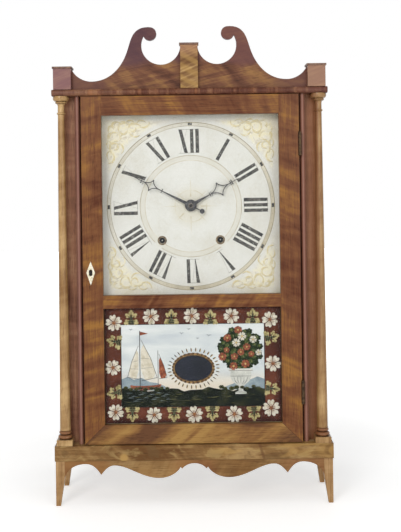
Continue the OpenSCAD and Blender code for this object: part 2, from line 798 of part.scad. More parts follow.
// ---- Movement ----
module plate(y0, y1) {
    top = centre_z + plate_top;
    box([-plate_w / 2, y0, top - plate_h], [plate_w / 2, y1, top]);
}
function post_places() = [
    for (sx = [-1, 1]) for (z = [plate_top - post_in[1], plate_top - plate_h + post_in[1]])
        [sx * (plate_w / 2 - post_in[0]), z]
];
module hole(p, r, y0, y1) {
    arbor(p, r + run_gap, y0 - 1, y1 + 1);
}
module train_holes(y0, y1) {
    for (p = [going_pos, strike_pos]) hole(p, wind_arbor_r, y0, y1);
    for (p = [second_pos, pin_pos]) hole(p, arbor_r, y0, y1);
    for (p = [third_pos, escape_pos, fly_pos, verge_pos, hammer_pos]) hole(p, thin_arbor_r, y0, y1);
}
module front_plate() {
    color("#b08a55") difference() {
        plate(front_plate_y, inner_y);
        train_holes(front_plate_y, inner_y);
        hole(centre, minute_arbor_r, front_plate_y, inner_y);
        hole(minute_pos, thin_arbor_r, front_plate_y, inner_y);
    }
}
module back_plate() {
    color("#b08a55") difference() {
        plate(back_plate_y, back_plate_back_y);
        train_holes(back_plate_y, back_plate_back_y);
        arbor(hang_pos, 1.5, back_plate_y - 1, back_plate_back_y + 1);
    }
}
module movement_posts() {
    color("#b8925c") for (p = post_places()) {
        arbor(p, 4.5, inner_y, back_plate_y);
        arbor(p, 6, inner_y, inner_y + 3);
        arbor(p, 6, back_plate_y - 3, back_plate_y);
    }
    color("#4a4744") {
        arbor(hang_pos, 1.5, back_plate_y, rod_y + 3);
        arbor(hang_pos, 3, rod_y + 1.4, rod_y + 3);
    }
}
module great_wheel(p) {
    color("#a5733f") difference() {
        gear(p, going_great_n, train_m, great_y, great_y + great_t);
        arbor(p, wind_arbor_r + run_gap, great_y - 1, great_y + great_t + 1);
    }
}
module going_great_wheel() { great_wheel(going_pos); }
module strike_great_wheel() { great_wheel(strike_pos); }
module barrel(p) {
    flange_r = barrel_r + 3;
    flange_t = 1.5;
    color("#b98a52") {
        arbor(p, wind_arbor_r, dial_y + 1.2, arbor_back_y);
        arbor(p, barrel_r, barrel_y, barrel_y + barrel_l);
        arbor(p, flange_r, barrel_y - flange_t, barrel_y);
        arbor(p, flange_r, barrel_y + barrel_l, great_y - 0.3);
        arbor(p, wind_arbor_r + 2, great_y + great_t + 0.3, back_plate_y - 0.3);
    }
}
module going_barrel() { barrel(going_pos); }
module strike_barrel() { barrel(strike_pos); }
module second_arbor(p, wheel_n, wheel_m, wheel_y, wheel_t, great, front) {
    arbor(p, arbor_r, front, arbor_back_y);
    gear(p, wheel_n, wheel_m, wheel_y, wheel_y + wheel_t);
    gear(p, second_pinion_n, train_m, great_y - 1, great_y + great_t + 0.8,
        mesh_turn(going_great_n, 0, great, second_pinion_n, p));
}
drive_y = front_plate_y - 4;
module second_wheel() {
    color("#a5733f") {
        second_arbor(second_pos, second_n, train_m, second_y, 4.5, going_pos, drive_y - 0.5);
        gear(second_pos, drive_n, drive_m, drive_y, drive_y + 3);
    }
}
pin_circle_r = 22;
pin_count = 8;
module pin_wheel() {
    color("#a5733f") {
        second_arbor(pin_pos, pin_n, pin_m, pin_wheel_y, 3, strike_pos, arbor_front_y);
        for (i = [0 : pin_count - 1])
            let (a = (i + 0.5) * 360 / pin_count)
                arbor(pin_pos + pin_circle_r * [cos(a), sin(a)], 1, pin_wheel_y + 2, pin_wheel_y + 5.6);
    }
}
module third_wheel() {
    color("#a5733f") {
        arbor(third_pos, thin_arbor_r, arbor_front_y, arbor_back_y);
        gear(third_pos, third_pinion_n, train_m, second_y - 1, second_y + 5.5,
            mesh_turn(second_n, 0, second_pos, third_pinion_n, third_pos));
        gear(third_pos, third_n, train_m, third_y, third_y + 4);
    }
}
escape_r = 17;
escape_root_r = 14;
module escape_wheel() {
    color("#b08d4a") {
        arbor(escape_pos, thin_arbor_r, arbor_front_y, arbor_back_y);
        gear(escape_pos, third_pinion_n, train_m, third_y - 1, third_y + 5,
            mesh_turn(third_n, 0, third_pos, third_pinion_n, escape_pos));
        translate([0, 0, escape_pos[1] + centre_z]) front_view(escape_y, escape_y + 2) polygon([
            for (i = [0 : escape_n - 1]) for (c = [[0, escape_root_r], [0.12, escape_r], [0.24, escape_r]])
                let (a = (i + c[0]) * 360 / escape_n) c[1] * [cos(a), sin(a)]
        ]);
    }
}
motion_y = drive_y - 4.5;
hour_wheel_y = motion_y - 4;
module centre_wheel() {
    color("#b08d4a") {
        arbor(centre, minute_arbor_r, minute_hand_y - 2, inner_y + 2);
        arbor(centre, minute_arbor_r + 1.6, inner_y + 0.3, inner_y + 2);
        gear(centre, centre_n, drive_m, drive_y, drive_y + 3,
            mesh_turn(drive_n, 0, second_pos, centre_n, centre));
        gear(centre, cannon_n, motion_m, motion_y, motion_y + 3.6);
    }
}
module minute_wheel() {
    color("#a5733f") {
        arbor(minute_pos, thin_arbor_r, hour_wheel_y, inner_y + 1);
        gear(minute_pos, minute_n, motion_m, motion_y, motion_y + 2,
            mesh_turn(cannon_n, 0, centre, minute_n, minute_pos));
        gear(minute_pos, minute_pinion_n, hour_m, hour_wheel_y - 0.5, motion_y);
    }
}
module hour_wheel() {
    color("#a5733f") difference() {
        union() {
            gear(centre, hour_n, hour_m, hour_wheel_y, hour_wheel_y + 2,
                mesh_turn(minute_pinion_n, 0, minute_pos, hour_n, centre));
            arbor(centre, hour_pipe_r, hour_hand_y - 1, hour_wheel_y + 2);
        }
        arbor(centre, minute_arbor_r + run_gap, hour_hand_y - 2, motion_y);
    }
}
fly_r = 11;
module fly() {
    color("#8f6b3c") {
        arbor(fly_pos, thin_arbor_r, arbor_front_y, arbor_back_y);
        gear(fly_pos, third_pinion_n, pin_m, pin_wheel_y - 1, pin_wheel_y + 4,
            mesh_turn(pin_n, 0, pin_pos, third_pinion_n, fly_pos));
        translate([fly_pos[0] - fly_r, pin_wheel_y + 6, fly_pos[1] + centre_z - 0.5])
            cube([2 * fly_r, 10, 1]);
    }
}
hammer_y = back_plate_back_y + 1;
hammer_rise = 56;
hammer_tail = 65;
module hammer() {
    color("#5a5550") {
        arbor(hammer_pos, thin_arbor_r, arbor_front_y, hammer_y + 2);
        translate([hammer_pos[0], 0, hammer_pos[1] + centre_z]) {
            box([-1.2, hammer_y, 0], [1.2, hammer_y + 2, hammer_rise]);
            box([-2.5, pin_wheel_y + 3.6, -hammer_tail], [0, pin_wheel_y + 5.4, 0]);
            translate([-7, hammer_y + 1, hammer_rise]) rotate([0, 90, 0]) cylinder(h = 14, r = 4.5);
        }
    }
}
bell_r = 27;
bell_lift = 36.2;
bell_pos = [-55, centre_z + plate_top + bell_lift];
bell_depth = 20;
bell_t = 1.5;
bell_crown_angle = 85;
// Quarter oval from the mouth to just inside the bell's rod
function bell_curve(r, depth) = [
    for (i = [0 : 10])
        let (a = bell_crown_angle * i / 10)
            [r * cos(a), depth * sin(a) / sin(bell_crown_angle)]
];
module bell() {
    mouth_y = hammer_y + 2.5;
    crown_y = mouth_y - bell_depth;
    color("#b29a55") translate([bell_pos[0], mouth_y, bell_pos[1]]) rotate([90, 0, 0]) rotate_extrude()
        polygon(concat(
            bell_curve(bell_r, bell_depth),
            flipped(bell_curve(bell_r - bell_t, bell_depth - bell_t), 1, 1)
        ));
    color("#5a5550") {
        rod(bell_pos, 2.6, crown_y - 3, back_face_y);
        rod(bell_pos, 4.6, crown_y + bell_t - 0.2, crown_y + bell_t + 3);
        rod(bell_pos, 4.6, crown_y - 3, crown_y + 0.5);
    }
}
crutch_y = back_plate_back_y + 1;
crutch_l = verge_pos[1] - 30;
crutch_t = 1.2;
pallet = [14, -9.6];
module verge() {
    fork_r = 1.4;
    color("#6a6258") {
        arbor(verge_pos, thin_arbor_r, arbor_front_y, crutch_y + crutch_t);
        translate([0, 0, verge_pos[1] + centre_z]) {
            front_view(escape_y, escape_y + 2.5) {
                circle(r = 4);
                both() polygon([
                    [0.6, -2], pallet - [0.6, 0.8], pallet + [0.6, 0.8], [1.4, 2.6]
                ]);
            }
            front_view(crutch_y, crutch_y + crutch_t) {
                circle(r = 4);
                translate([-1.5, -crutch_l]) square([3, crutch_l]);
            }
            both() box([fork_r, crutch_y, -crutch_l - 3], [fork_r + 1.6, rod_y + 2, -crutch_l + 1]);
            box([-fork_r - 1.6, crutch_y, -crutch_l - 3], [fork_r + 1.6, crutch_y + crutch_t, -crutch_l + 1]);
        }
    }
}
rod_r = 1;
eye_r = 3.5;
bob_z = centre_z + hang_pos[1] - pendulum_len;
bob_t = 10;
module pendulum_rod() {
    color("#6a6258") difference() {
        union() {
            arbor(hang_pos, eye_r, rod_y - 1, rod_y + 1);
            translate([0, rod_y, bob_z - bob_r - 6]) cylinder(h = pendulum_len + bob_r + 6 - 2.5, r = rod_r);
            translate([0, rod_y, bob_z - bob_r - 3]) cylinder(h = 3, r = 3, $fn = 6);
        }
        arbor(hang_pos, 1.5 + run_gap, rod_y - 3, rod_y + 3);
    }
}
// One dished face of the bob, from its centre to its rim
function bob_face() = [
    for (i = [0 : 6]) let (a = 90 * i / 6) [bob_r * sin(a), (bob_t / 2 - 1) * (1 - cos(a))]
];
module pendulum_bob() {
    color("#b29a55") difference() {
        translate([0, rod_y + bob_t / 2, bob_z]) rotate([90, 0, 0]) rotate_extrude()
            polygon(concat(bob_face(), [for (p = flipped(bob_face(), 1, 1)) [p[0], bob_t - p[1]]]));
        translate([0, rod_y, bob_z - 2 * bob_r]) cylinder(h = 4 * bob_r, r = rod_r + 0.02);
    }
}

// ---- Weights, pulleys and cords ----
module weight() {
    eye = [fall_x, weight_z + weight_h + weight_eye_h - 5];
    color("#4b4a48") difference() {
        union() {
            translate([fall_x - weight_w / 2, cord_y - weight_d / 2, weight_z])
                cube([weight_w, weight_d, weight_h]);
            rod(eye, 5, cord_y - 1.5, cord_y + 1.5);
            box([fall_x - 3, cord_y - 1.5, weight_z + weight_h], [fall_x + 3, cord_y + 1.5, eye[1]]);
        }
        rod(eye, 2.2, cord_y - 3, cord_y + 3);
    }
}
module right_weight() { weight(); }
module left_weight() { mirror([1, 0, 0]) weight(); }
cord_joint_gap = 0.15;
pulley_w = 8;
pulley_axle_r = 2;
cheek_gap = 0.5;
cheek_t = 5;
module pulley() {
    rim_r = pulley_r + 2;
    far = pulley_w + cheek_t;
    color("#a5733f") translate([pulley_x, cord_y + pulley_w / 2, pulley_z]) rotate([90, 0, 0])
        rotate_extrude() polygon([
            [0, -cheek_t], [pulley_axle_r, -cheek_t], [pulley_axle_r, 0], [rim_r, 0],
            [rim_r, 1], [pulley_r, 2.6], [pulley_r, pulley_w - 2.6], [rim_r, pulley_w - 1],
            [rim_r, pulley_w], [pulley_axle_r, pulley_w], [pulley_axle_r, far], [0, far]
        ]);
}
module right_pulley() { pulley(); }
module left_pulley() { mirror([1, 0, 0]) pulley(); }
module pulley_blocks() {
    half = 12;
    slot = pulley_w / 2 + cheek_gap;
    drop = 7;
    color("#a88a5c") both() difference() {
        box([pulley_x - half, cord_y - slot - cheek_t, pulley_z - drop],
            [pulley_x + half, cord_y + slot + cheek_t, body_top_z]);
        box([pulley_x - half - 1, cord_y - slot, pulley_z - drop - 1],
            [pulley_x + half + 1, cord_y + slot, pulley_z + pulley_r + 2.6]);
        rod([pulley_x, pulley_z], pulley_axle_r + run_gap,
            cord_y - slot - cheek_t - 1, cord_y + slot + cheek_t + 1);
    }
}
module cord_fall() {
    foot = weight_z + weight_h + weight_eye_h;
    color("#cfc6a8") translate([fall_x, cord_y, foot])
        cylinder(h = pulley_z - cord_joint_gap - foot, r = cord_r, $fn = 24);
}
module right_cord_fall() { cord_fall(); }
module left_cord_fall() { mirror([1, 0, 0]) cord_fall(); }
// A cord of eight sides along a flat path of [x, z] points at one depth
module flat_cord(path, r, y) {
    sides = 8;
    last = len(path) - 1;
    points = [
        for (i = [0 : last]) for (k = [0 : sides - 1])
            let (n = normal_at(path, i), a = 360 * k / sides)
                [path[i][0] + r * cos(a) * n[0], y + r * sin(a), path[i][1] + r * cos(a) * n[1]]
    ];
    walls = [
        for (i = [0 : last - 1]) for (k = [0 : sides - 1])
            let (k1 = (k + 1) % sides)
                [i * sides + k, i * sides + k1, (i + 1) * sides + k1, (i + 1) * sides + k]
    ];
    polyhedron(points, concat(
        walls,
        [[for (k = [sides - 1 : -1 : 0]) k], [for (k = [0 : sides - 1]) last * sides + k]]
    ));
}
// The cord over the pulley and down to the barrel, straight along the tangent
function cord_path() =
    let (
        top = [pulley_x, pulley_z],
        low = going_pos + [0, centre_z],
        gap = norm(low - top),
        u = (low - top) / gap,
        lean = asin((pulley_cord_r - barrel_cord_r) / gap),
        n = u * sin(lean) + [u[1], -u[0]] * cos(lean),
        a = atan2(n[1], n[0])
    ) concat(
        [for (i = [0 : 12]) top + pulley_cord_r * [cos(i * a / 12), sin(i * a / 12)]],
        [low + barrel_cord_r * n]
    );
module cord_runs() {
    color("#cfc6a8") both() flat_cord(cord_path(), cord_r, cord_y);
}

front_skirt();
side_skirts();
base_front_rail();
base_side_rails();
base_deck();
column_plinths();
columns();
side_boards();
jambs();
back_board();
cornice_board();
crest_board();
crest_plinths();
crest_caps();
weight_partitions();
inner_rails();
dial_board();
door_left_stile();
door_right_stile();
door_top_rail();
door_middle_rail();
door_bottom_rail();
dial_glass();
tablet_glass();
glazing_strips();
escutcheon();
lock_case();
lock_bolt();
hinge_case_leaves();
hinge_door_leaves();
hour_hand();
minute_hand();
front_plate();
back_plate();
movement_posts();
going_great_wheel();
going_barrel();
second_wheel();
third_wheel();
escape_wheel();
centre_wheel();
minute_wheel();
hour_wheel();
strike_great_wheel();
strike_barrel();
pin_wheel();
fly();
hammer();
bell();
verge();
pendulum_rod();
pendulum_bob();
left_weight();
right_weight();
left_pulley();
right_pulley();
pulley_blocks();
left_cord_fall();
right_cord_fall();
cord_runs();
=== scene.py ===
"""Finishes a pillar-and-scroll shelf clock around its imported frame: veneer, dial, tablet and works."""

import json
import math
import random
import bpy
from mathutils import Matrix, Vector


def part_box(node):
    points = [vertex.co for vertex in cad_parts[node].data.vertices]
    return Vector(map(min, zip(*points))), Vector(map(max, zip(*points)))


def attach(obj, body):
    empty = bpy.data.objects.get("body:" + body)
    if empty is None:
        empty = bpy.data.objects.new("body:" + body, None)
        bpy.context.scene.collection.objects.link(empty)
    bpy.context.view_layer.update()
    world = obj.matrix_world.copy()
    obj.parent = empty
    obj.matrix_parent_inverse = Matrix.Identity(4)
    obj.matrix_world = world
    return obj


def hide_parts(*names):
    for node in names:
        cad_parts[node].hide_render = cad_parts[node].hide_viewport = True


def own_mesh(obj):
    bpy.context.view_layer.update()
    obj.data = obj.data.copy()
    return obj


bl_info = {
    "name": "Pillar and Scroll Clock",
    "version": (1, 0, 0),
    "blender": (4, 5, 0),
    "location": "3D View > Sidebar > Clock",
    "description": "Veneers, paints and dresses a pillar-and-scroll shelf clock",
    "category": "Object",
}

from functools import cached_property

import bpy
from bpy.props import FloatProperty, FloatVectorProperty, IntProperty, PointerProperty
from bpy.types import Operator, Panel, PropertyGroup
from mathutils import Matrix, Vector
from mathutils.geometry import tessellate_polygon

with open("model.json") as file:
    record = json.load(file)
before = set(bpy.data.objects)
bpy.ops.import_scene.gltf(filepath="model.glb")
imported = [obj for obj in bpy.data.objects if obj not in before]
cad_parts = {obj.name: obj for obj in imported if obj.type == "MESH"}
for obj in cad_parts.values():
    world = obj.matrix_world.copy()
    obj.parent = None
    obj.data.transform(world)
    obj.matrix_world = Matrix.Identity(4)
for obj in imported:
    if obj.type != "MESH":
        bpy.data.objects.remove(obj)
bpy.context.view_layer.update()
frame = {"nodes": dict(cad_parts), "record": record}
MM = 0.001
BRUSH_STEP = 0.000001  # step in depth between strokes of one layer of paint
BRUSH_STEPS = 24  # after this many strokes the depth starts again
SLIVER = 1e-14  # a triangle of less area than this, in square metres, is left out


def tone(red, green, blue):
    """A colour picked on an 8-bit scale, as the linear values that a shader takes."""
    shares = [value / 255 for value in (red, green, blue)]
    return tuple(s / 12.92 if s <= 0.04045 else ((s + 0.055) / 1.055) ** 2.4 for s in shares)


def colour(name, about, default):
    return FloatVectorProperty(
        name=name, description=about, subtype="COLOR", size=3, min=0, max=1, default=default
    )


def number(name, about, default, **more):
    return FloatProperty(name=name, description=about, default=default, min=0, **more)


def length(name, about, default):
    """A length in metres, written here in millimetres."""
    return number(name, about, default * MM, unit="LENGTH", precision=5)


class ClockWoodSettings(PropertyGroup):
    door_pale: colour("Door, pale", "Light streaks of the door's figured veneer", tone(150, 104, 47))
    door_mid: colour("Door, mid", "Main colour of the door's veneer", tone(114, 70, 39))
    door_dark: colour("Door, dark", "Dark streaks of the door's veneer", tone(81, 37, 12))
    case_pale: colour("Case, pale", "Light streaks of the case's veneer", tone(142, 102, 74))
    case_mid: colour("Case, mid", "Main colour of the case's veneer", tone(110, 68, 49))
    case_dark: colour("Case, dark", "Dark streaks of the case's veneer", tone(72, 34, 19))
    crest_tip: colour("Scroll tips", "Purple-brown of the scrolls' tops", tone(78, 49, 60))
    crest_foot: colour("Crest, foot", "Warm brown of the crest near the cornice", tone(111, 70, 47))
    base_pale: colour("Base, pale", "Light streaks of the base rail", tone(162, 130, 85))
    base_mid: colour("Base, mid", "Main colour of the base rail", tone(134, 100, 59))
    base_dark: colour("Base, dark", "Dark streaks of the base rail", tone(102, 68, 34))
    gold_pale: colour("Plinths, pale", "Light streaks of the crest's plinths", tone(183, 148, 98))
    pine_pale: colour("Pine, pale", "Spring wood of the plain inner boards", tone(186, 156, 112))
    pine_dark: colour("Pine, dark", "Summer wood of the plain inner boards", tone(140, 106, 68))


class ClockDialSettings(PropertyGroup):
    ground: colour("Ground", "Cream ground of the dial", tone(233, 233, 225))
    # yellowed paint, and painted light: lighter than the ground, against the frame's shade in the corners
    aged: colour("Aged ground", "Yellowed paint in the dial's corners", tone(246, 240, 220))
    ink: colour("Ink", "Black of the numerals", tone(84, 83, 79))
    gilt: colour("Gilt", "Faded gilding of the corner scrolls", tone(230, 216, 166))
    numeral_in: length("Numerals, inner", "Radius of the numerals' feet", 87)
    numeral_out: length("Numerals, outer", "Radius of the numerals' tops", 125.6)
    stroke: length("Stroke", "Width of a thick numeral stroke", 5.5)
    track_in: length("Track, inner", "Inner radius of the minute track", 131.4)
    track_out: length("Track, outer", "Outer radius of the minute track", 137)
    lozenge: length("Hour mark", "Side of an hour mark on the minute track", 3.9)
    inner_ring: length("Inner ring", "Radius of the beige ring inside the numerals", 80)


class ClockTabletSettings(PropertyGroup):
    border: colour("Border", "Red-brown ground of the border", tone(90, 46, 34))
    petal: colour("Petal", "White of the border flowers", tone(224, 219, 202))
    leaf: colour("Leaf", "Yellow-green of the border sprigs", tone(186, 172, 118))
    sky: colour("Sky", "Pale sky of the picture", tone(223, 229, 228))
    ground: colour("Ground", "Dark green ground of the picture", tone(18, 23, 18))
    russet: colour("Russet", "Russet of blossoms and sails", tone(146, 74, 46))
    gold: colour("Gold", "Gold-brown of the oval's ring", tone(126, 92, 50))
    flower: length("Flower", "Width of a border flower", 25.5)
    oval_w: length("Oval, width", "Half the width of the clear oval", 29.6)
    oval_h: length("Oval, height", "Half the height of the clear oval", 20)
    rays: IntProperty(name="Rays", description="Rays round the oval", default=34, min=8, max=80)


class ClockStageSettings(PropertyGroup):
    floor: colour("Floor", "Colour of the floor", (0.885, 0.9, 0.91))
    sky_light: number("Room light", "Strength of the even light of the room", 0.44)
    floor_glow: number("Floor glow", "Light added to the floor where the camera sees it", 0.46)
    key: number("Main lamp", "Power of the lamp at the left", 33, unit="POWER")
    fill: number("Second lamp", "Power of the lamp at the right", 18, unit="POWER")


def settings(part):
    return getattr(bpy.context.scene, "clock_" + part)


# ---- Meshes ----


def low(node):
    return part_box(node)[0]


def high(node):
    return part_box(node)[1]


def middle(node):
    return [(a + b) / 2 for a, b in zip(low(node), high(node))]


def joint(name):
    """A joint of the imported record."""
    return next(j for j in frame["record"]["behaviour"]["joints"] if j["name"] == name)


def hand_axis():
    """Height of the arbor that carries the hands."""
    return joint("minute_hand_turn")["pos_m"][2]


def new_mesh(name, verts, faces):
    mesh = bpy.data.meshes.new(name)
    mesh.from_pydata(verts, [], faces)
    return mesh


def new_object(name, data):
    obj = bpy.data.objects.new(name, data)
    bpy.context.scene.collection.objects.link(obj)
    return obj


def mesh_piece(name, verts, faces, body, slot, finish, smooth=False):
    """A new mesh in the frame's own coordinates that rides on a body, if there is one."""
    mesh = new_mesh(name, verts, faces)
    mesh.validate()
    mesh.polygons.foreach_set("use_smooth", [smooth] * len(mesh.polygons))
    mesh.update()
    mesh.materials.append(finish)
    obj = new_object(name, mesh)
    if body:
        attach(obj, body)
    return obj


def signed_area(loop):
    return 0.5 * sum(loop[i - 1][0] * loop[i][1] - loop[i][0] * loop[i - 1][1] for i in range(len(loop)))


def slab(loops, front, thick):
    """Closed sheet with a front view outline (x, z), holes after the outline, from y front back."""
    rings = [loop[::-1] if (signed_area(loop) < 0) == (i == 0) else loop for i, loop in enumerate(loops)]
    flat = [p for ring in rings for p in ring]
    count = len(flat)
    verts = [(x, y, z) for y in (front, front + thick) for x, z in flat]
    faces = []
    for a, b, c in tessellate_polygon([[Vector((x, z, 0)) for x, z in ring] for ring in rings]):
        area = signed_area([flat[a], flat[b], flat[c]])
        if abs(area) < SLIVER:
            continue
        if area < 0:
            a, c = c, a
        faces += [(a, b, c), (c + count, b + count, a + count)]
    start = 0
    for ring in rings:
        for i in range(len(ring)):
            a, b = start + i, start + (i + 1) % len(ring)
            faces.append((b, a, a + count, b + count))
        start += len(ring)
    return verts, faces


def join_parts(parts):
    """Several (verts, faces) as one."""
    verts, faces = [], []
    for part_verts, part_faces in parts:
        base = len(verts)
        verts += part_verts
        faces += [tuple(base + i for i in face) for face in part_faces]
    return verts, faces


def is_loop(shape):
    return isinstance(shape[0][0], (int, float))


def painted(name, shapes, front, thick, body, slot, finish):
    """Flat painted shapes at about one depth, so that strokes overlap as brushed ones do.

    A shape is a loop, or a list of an outline and holes.
    """
    parts = [slab([shape] if is_loop(shape) else shape, front - (i % BRUSH_STEPS) * BRUSH_STEP, thick)
             for i, shape in enumerate(shapes)]
    return mesh_piece(name, *join_parts(parts), body, slot, finish)


def circle(x, z, rx, rz=None, count=64):
    """A circle, or an oval if two radii are given."""
    rz = rz or rx
    turns = [math.tau * i / count for i in range(count)]
    return [(x + rx * math.cos(a), z + rz * math.sin(a)) for a in turns]


def rect(x0, z0, x1, z1):
    return [(x0, z0), (x1, z0), (x1, z1), (x0, z1)]


def mirrored(half, x):
    """An outline of points off a middle line at x, closed by the same points on its other side."""
    return [(x + a, z) for a, z in half] + [(x - a, z) for a, z in half[-2::-1]]


def turned_loop(loop, angle, x=0.0, z=0.0, size=1.0):
    """A loop scaled, turned by an angle from +x towards +z, and moved."""
    c, s = math.cos(angle) * size, math.sin(angle) * size
    return [(x + px * c - pz * s, z + px * s + pz * c) for px, pz in loop]


def ribbon(points, widths):
    """Outline of a brush stroke along points, with its half width at each point, or at all of them."""
    if not hasattr(widths, "__len__"):
        widths = [widths] * len(points)
    left, right = [], []
    for i, (x, z) in enumerate(points):
        ax, az = points[max(i - 1, 0)]
        bx, bz = points[min(i + 1, len(points) - 1)]
        size = math.hypot(bx - ax, bz - az) or 1
        nx, nz = -(bz - az) / size * widths[i], (bx - ax) / size * widths[i]
        left.append((x + nx, z + nz))
        right.append((x - nx, z - nz))
    return left + right[::-1]


def bezier(points, count):
    """Points along a cubic curve, from its four control points."""
    out = []
    for i in range(count + 1):
        t = i / count
        s = 1 - t
        weights = (s**3, 3 * s * s * t, 3 * s * t * t, t**3)
        out.append(tuple(sum(w * p[k] for w, p in zip(weights, points)) for k in (0, 1)))
    return out


def loft(rings):
    """Points row by row, and faces that join rings of equally many points and close both ends."""
    rows, count = len(rings), len(rings[0])
    faces = []
    for start in range(0, (rows - 1) * count, count):
        for i in range(count):
            a, b = start + i, start + (i + 1) % count
            faces.append((a, b, b + count, a + count))
    faces += [tuple(range(count))[::-1], tuple(range((rows - 1) * count, rows * count))]
    return [p for ring in rings for p in ring], faces


def turned_rings(profile, centre, count):
    """Rings about an axis along y. The profile is (radius, height towards the front) in mm."""
    x, y, z = centre
    turns = [math.tau * i / count for i in range(count)]
    return [[(x + r * MM * math.cos(a), y - h * MM, z + r * MM * math.sin(a)) for a in turns]
            for r, h in profile]


# ---- Geometry Nodes ----


MOTIF_TREE = "clock_motifs_on_points"
MOTIF_SOCKETS = (
    ("Geometry", "INPUT", "NodeSocketGeometry"), ("Motif", "INPUT", "NodeSocketObject"),
    ("Finish", "INPUT", "NodeSocketMaterial"), ("Geometry", "OUTPUT", "NodeSocketGeometry"),
)
MOTIF_NODES = {
    "in": "NodeGroupInput", "out": "NodeGroupOutput", "points": "GeometryNodeMeshToPoints",
    "info": "GeometryNodeObjectInfo", "place": "GeometryNodeInstanceOnPoints",
    "turn": "GeometryNodeInputNamedAttribute", "size": "GeometryNodeInputNamedAttribute",
    "rotation": "FunctionNodeEulerToRotation", "real": "GeometryNodeRealizeInstances",
    "paint": "GeometryNodeSetMaterial",
}
MOTIF_LINKS = (  # node and output, then node and input
    ("in", "Geometry", "points", "Mesh"), ("in", "Motif", "info", "Object"),
    ("points", "Points", "place", "Points"), ("info", "Geometry", "place", "Instance"),
    ("turn", "Attribute", "rotation", "Euler"), ("rotation", "Rotation", "place", "Rotation"),
    ("size", "Attribute", "place", "Scale"), ("place", "Instances", "real", "Geometry"),
    ("real", "Geometry", "paint", "Geometry"), ("in", "Finish", "paint", "Material"),
    ("paint", "Geometry", "out", "Geometry"),
)


def motif_tree():
    """Tree that sets a motif on each point of a mesh, turned and sized by the point's attributes."""
    tree = bpy.data.node_groups.new(MOTIF_TREE, "GeometryNodeTree")
    for name, way, kind in MOTIF_SOCKETS:
        tree.interface.new_socket(name, in_out=way, socket_type=kind)
    nodes = {key: tree.nodes.new(kind) for key, kind in MOTIF_NODES.items()}
    for key, kind in (("turn", "FLOAT_VECTOR"), ("size", "FLOAT")):
        nodes[key].data_type = kind
        nodes[key].inputs["Name"].default_value = key
    for source, output, target, socket in MOTIF_LINKS:
        tree.links.new(nodes[source].outputs[output], nodes[target].inputs[socket])
    return tree


def repeat(name, motif, places, body, finish):
    """One mesh of copies of a motif. A place is (x, y, z, turn about y, size)."""
    tree = bpy.data.node_groups.get(MOTIF_TREE) or motif_tree()
    copied = new_object(name + "_motif", new_mesh(name + "_motif", *motif))
    points = new_mesh(name + "_points", [p[:3] for p in places], [])
    turn = points.attributes.new("turn", "FLOAT_VECTOR", "POINT")
    turn.data.foreach_set("vector", [v for p in places for v in (0.0, p[3], 0.0)])
    size = points.attributes.new("size", "FLOAT", "POINT")
    size.data.foreach_set("value", [p[4] for p in places])
    host = new_object(name, points)
    modifier = host.modifiers.new("motifs", "NODES")
    modifier.node_group = tree
    modifier[tree.interface.items_tree["Motif"].identifier] = copied
    modifier[tree.interface.items_tree["Finish"].identifier] = finish
    bpy.context.view_layer.update()
    made = bpy.data.meshes.new_from_object(host.evaluated_get(bpy.context.evaluated_depsgraph_get()))
    host.modifiers.remove(modifier)
    host.data = made
    bpy.data.objects.remove(copied)
    if not made.polygons:
        raise RuntimeError(f"{name}: the tree made nothing")
    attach(host, body)
    return host


# ---- Materials ----


def rgba(value):
    """A colour with full alpha."""
    return (*value[:3], 1.0)


class Value:
    """A number in a finish's node tree. Arithmetic on it adds nodes."""

    def __init__(self, finish, socket):
        self.finish, self.socket = finish, socket

    def __add__(self, other):
        return self.finish.maths("ADD", self, other)

    def __sub__(self, other):
        return self.finish.maths("SUBTRACT", self, other)

    def __mul__(self, other):
        return self.finish.maths("MULTIPLY", self, other)

    def __abs__(self):
        return self.finish.maths("ABSOLUTE", self)

    def times_plus(self, weight, more):
        return self.finish.maths("MULTIPLY_ADD", self, weight, more)

    def or_more(self, other):
        return self.finish.maths("MAXIMUM", self, other)

    def span(self, start, end, most=1.0):
        """Goes smoothly from 0 at start to the most at end."""
        limits = {"Value": self, "From Min": start, "From Max": end, "To Max": most}
        made = self.finish.node("MapRange", limits, interpolation_type="SMOOTHSTEP")
        return Value(self.finish, made.outputs["Result"])


def summed(*parts):
    """Noises added about a middle value of a half. A part is (noise, weight)."""
    total = 0.5 - sum(weight for _, weight in parts) / 2
    for value, weight in parts:
        total = value.times_plus(weight, total)
    return total


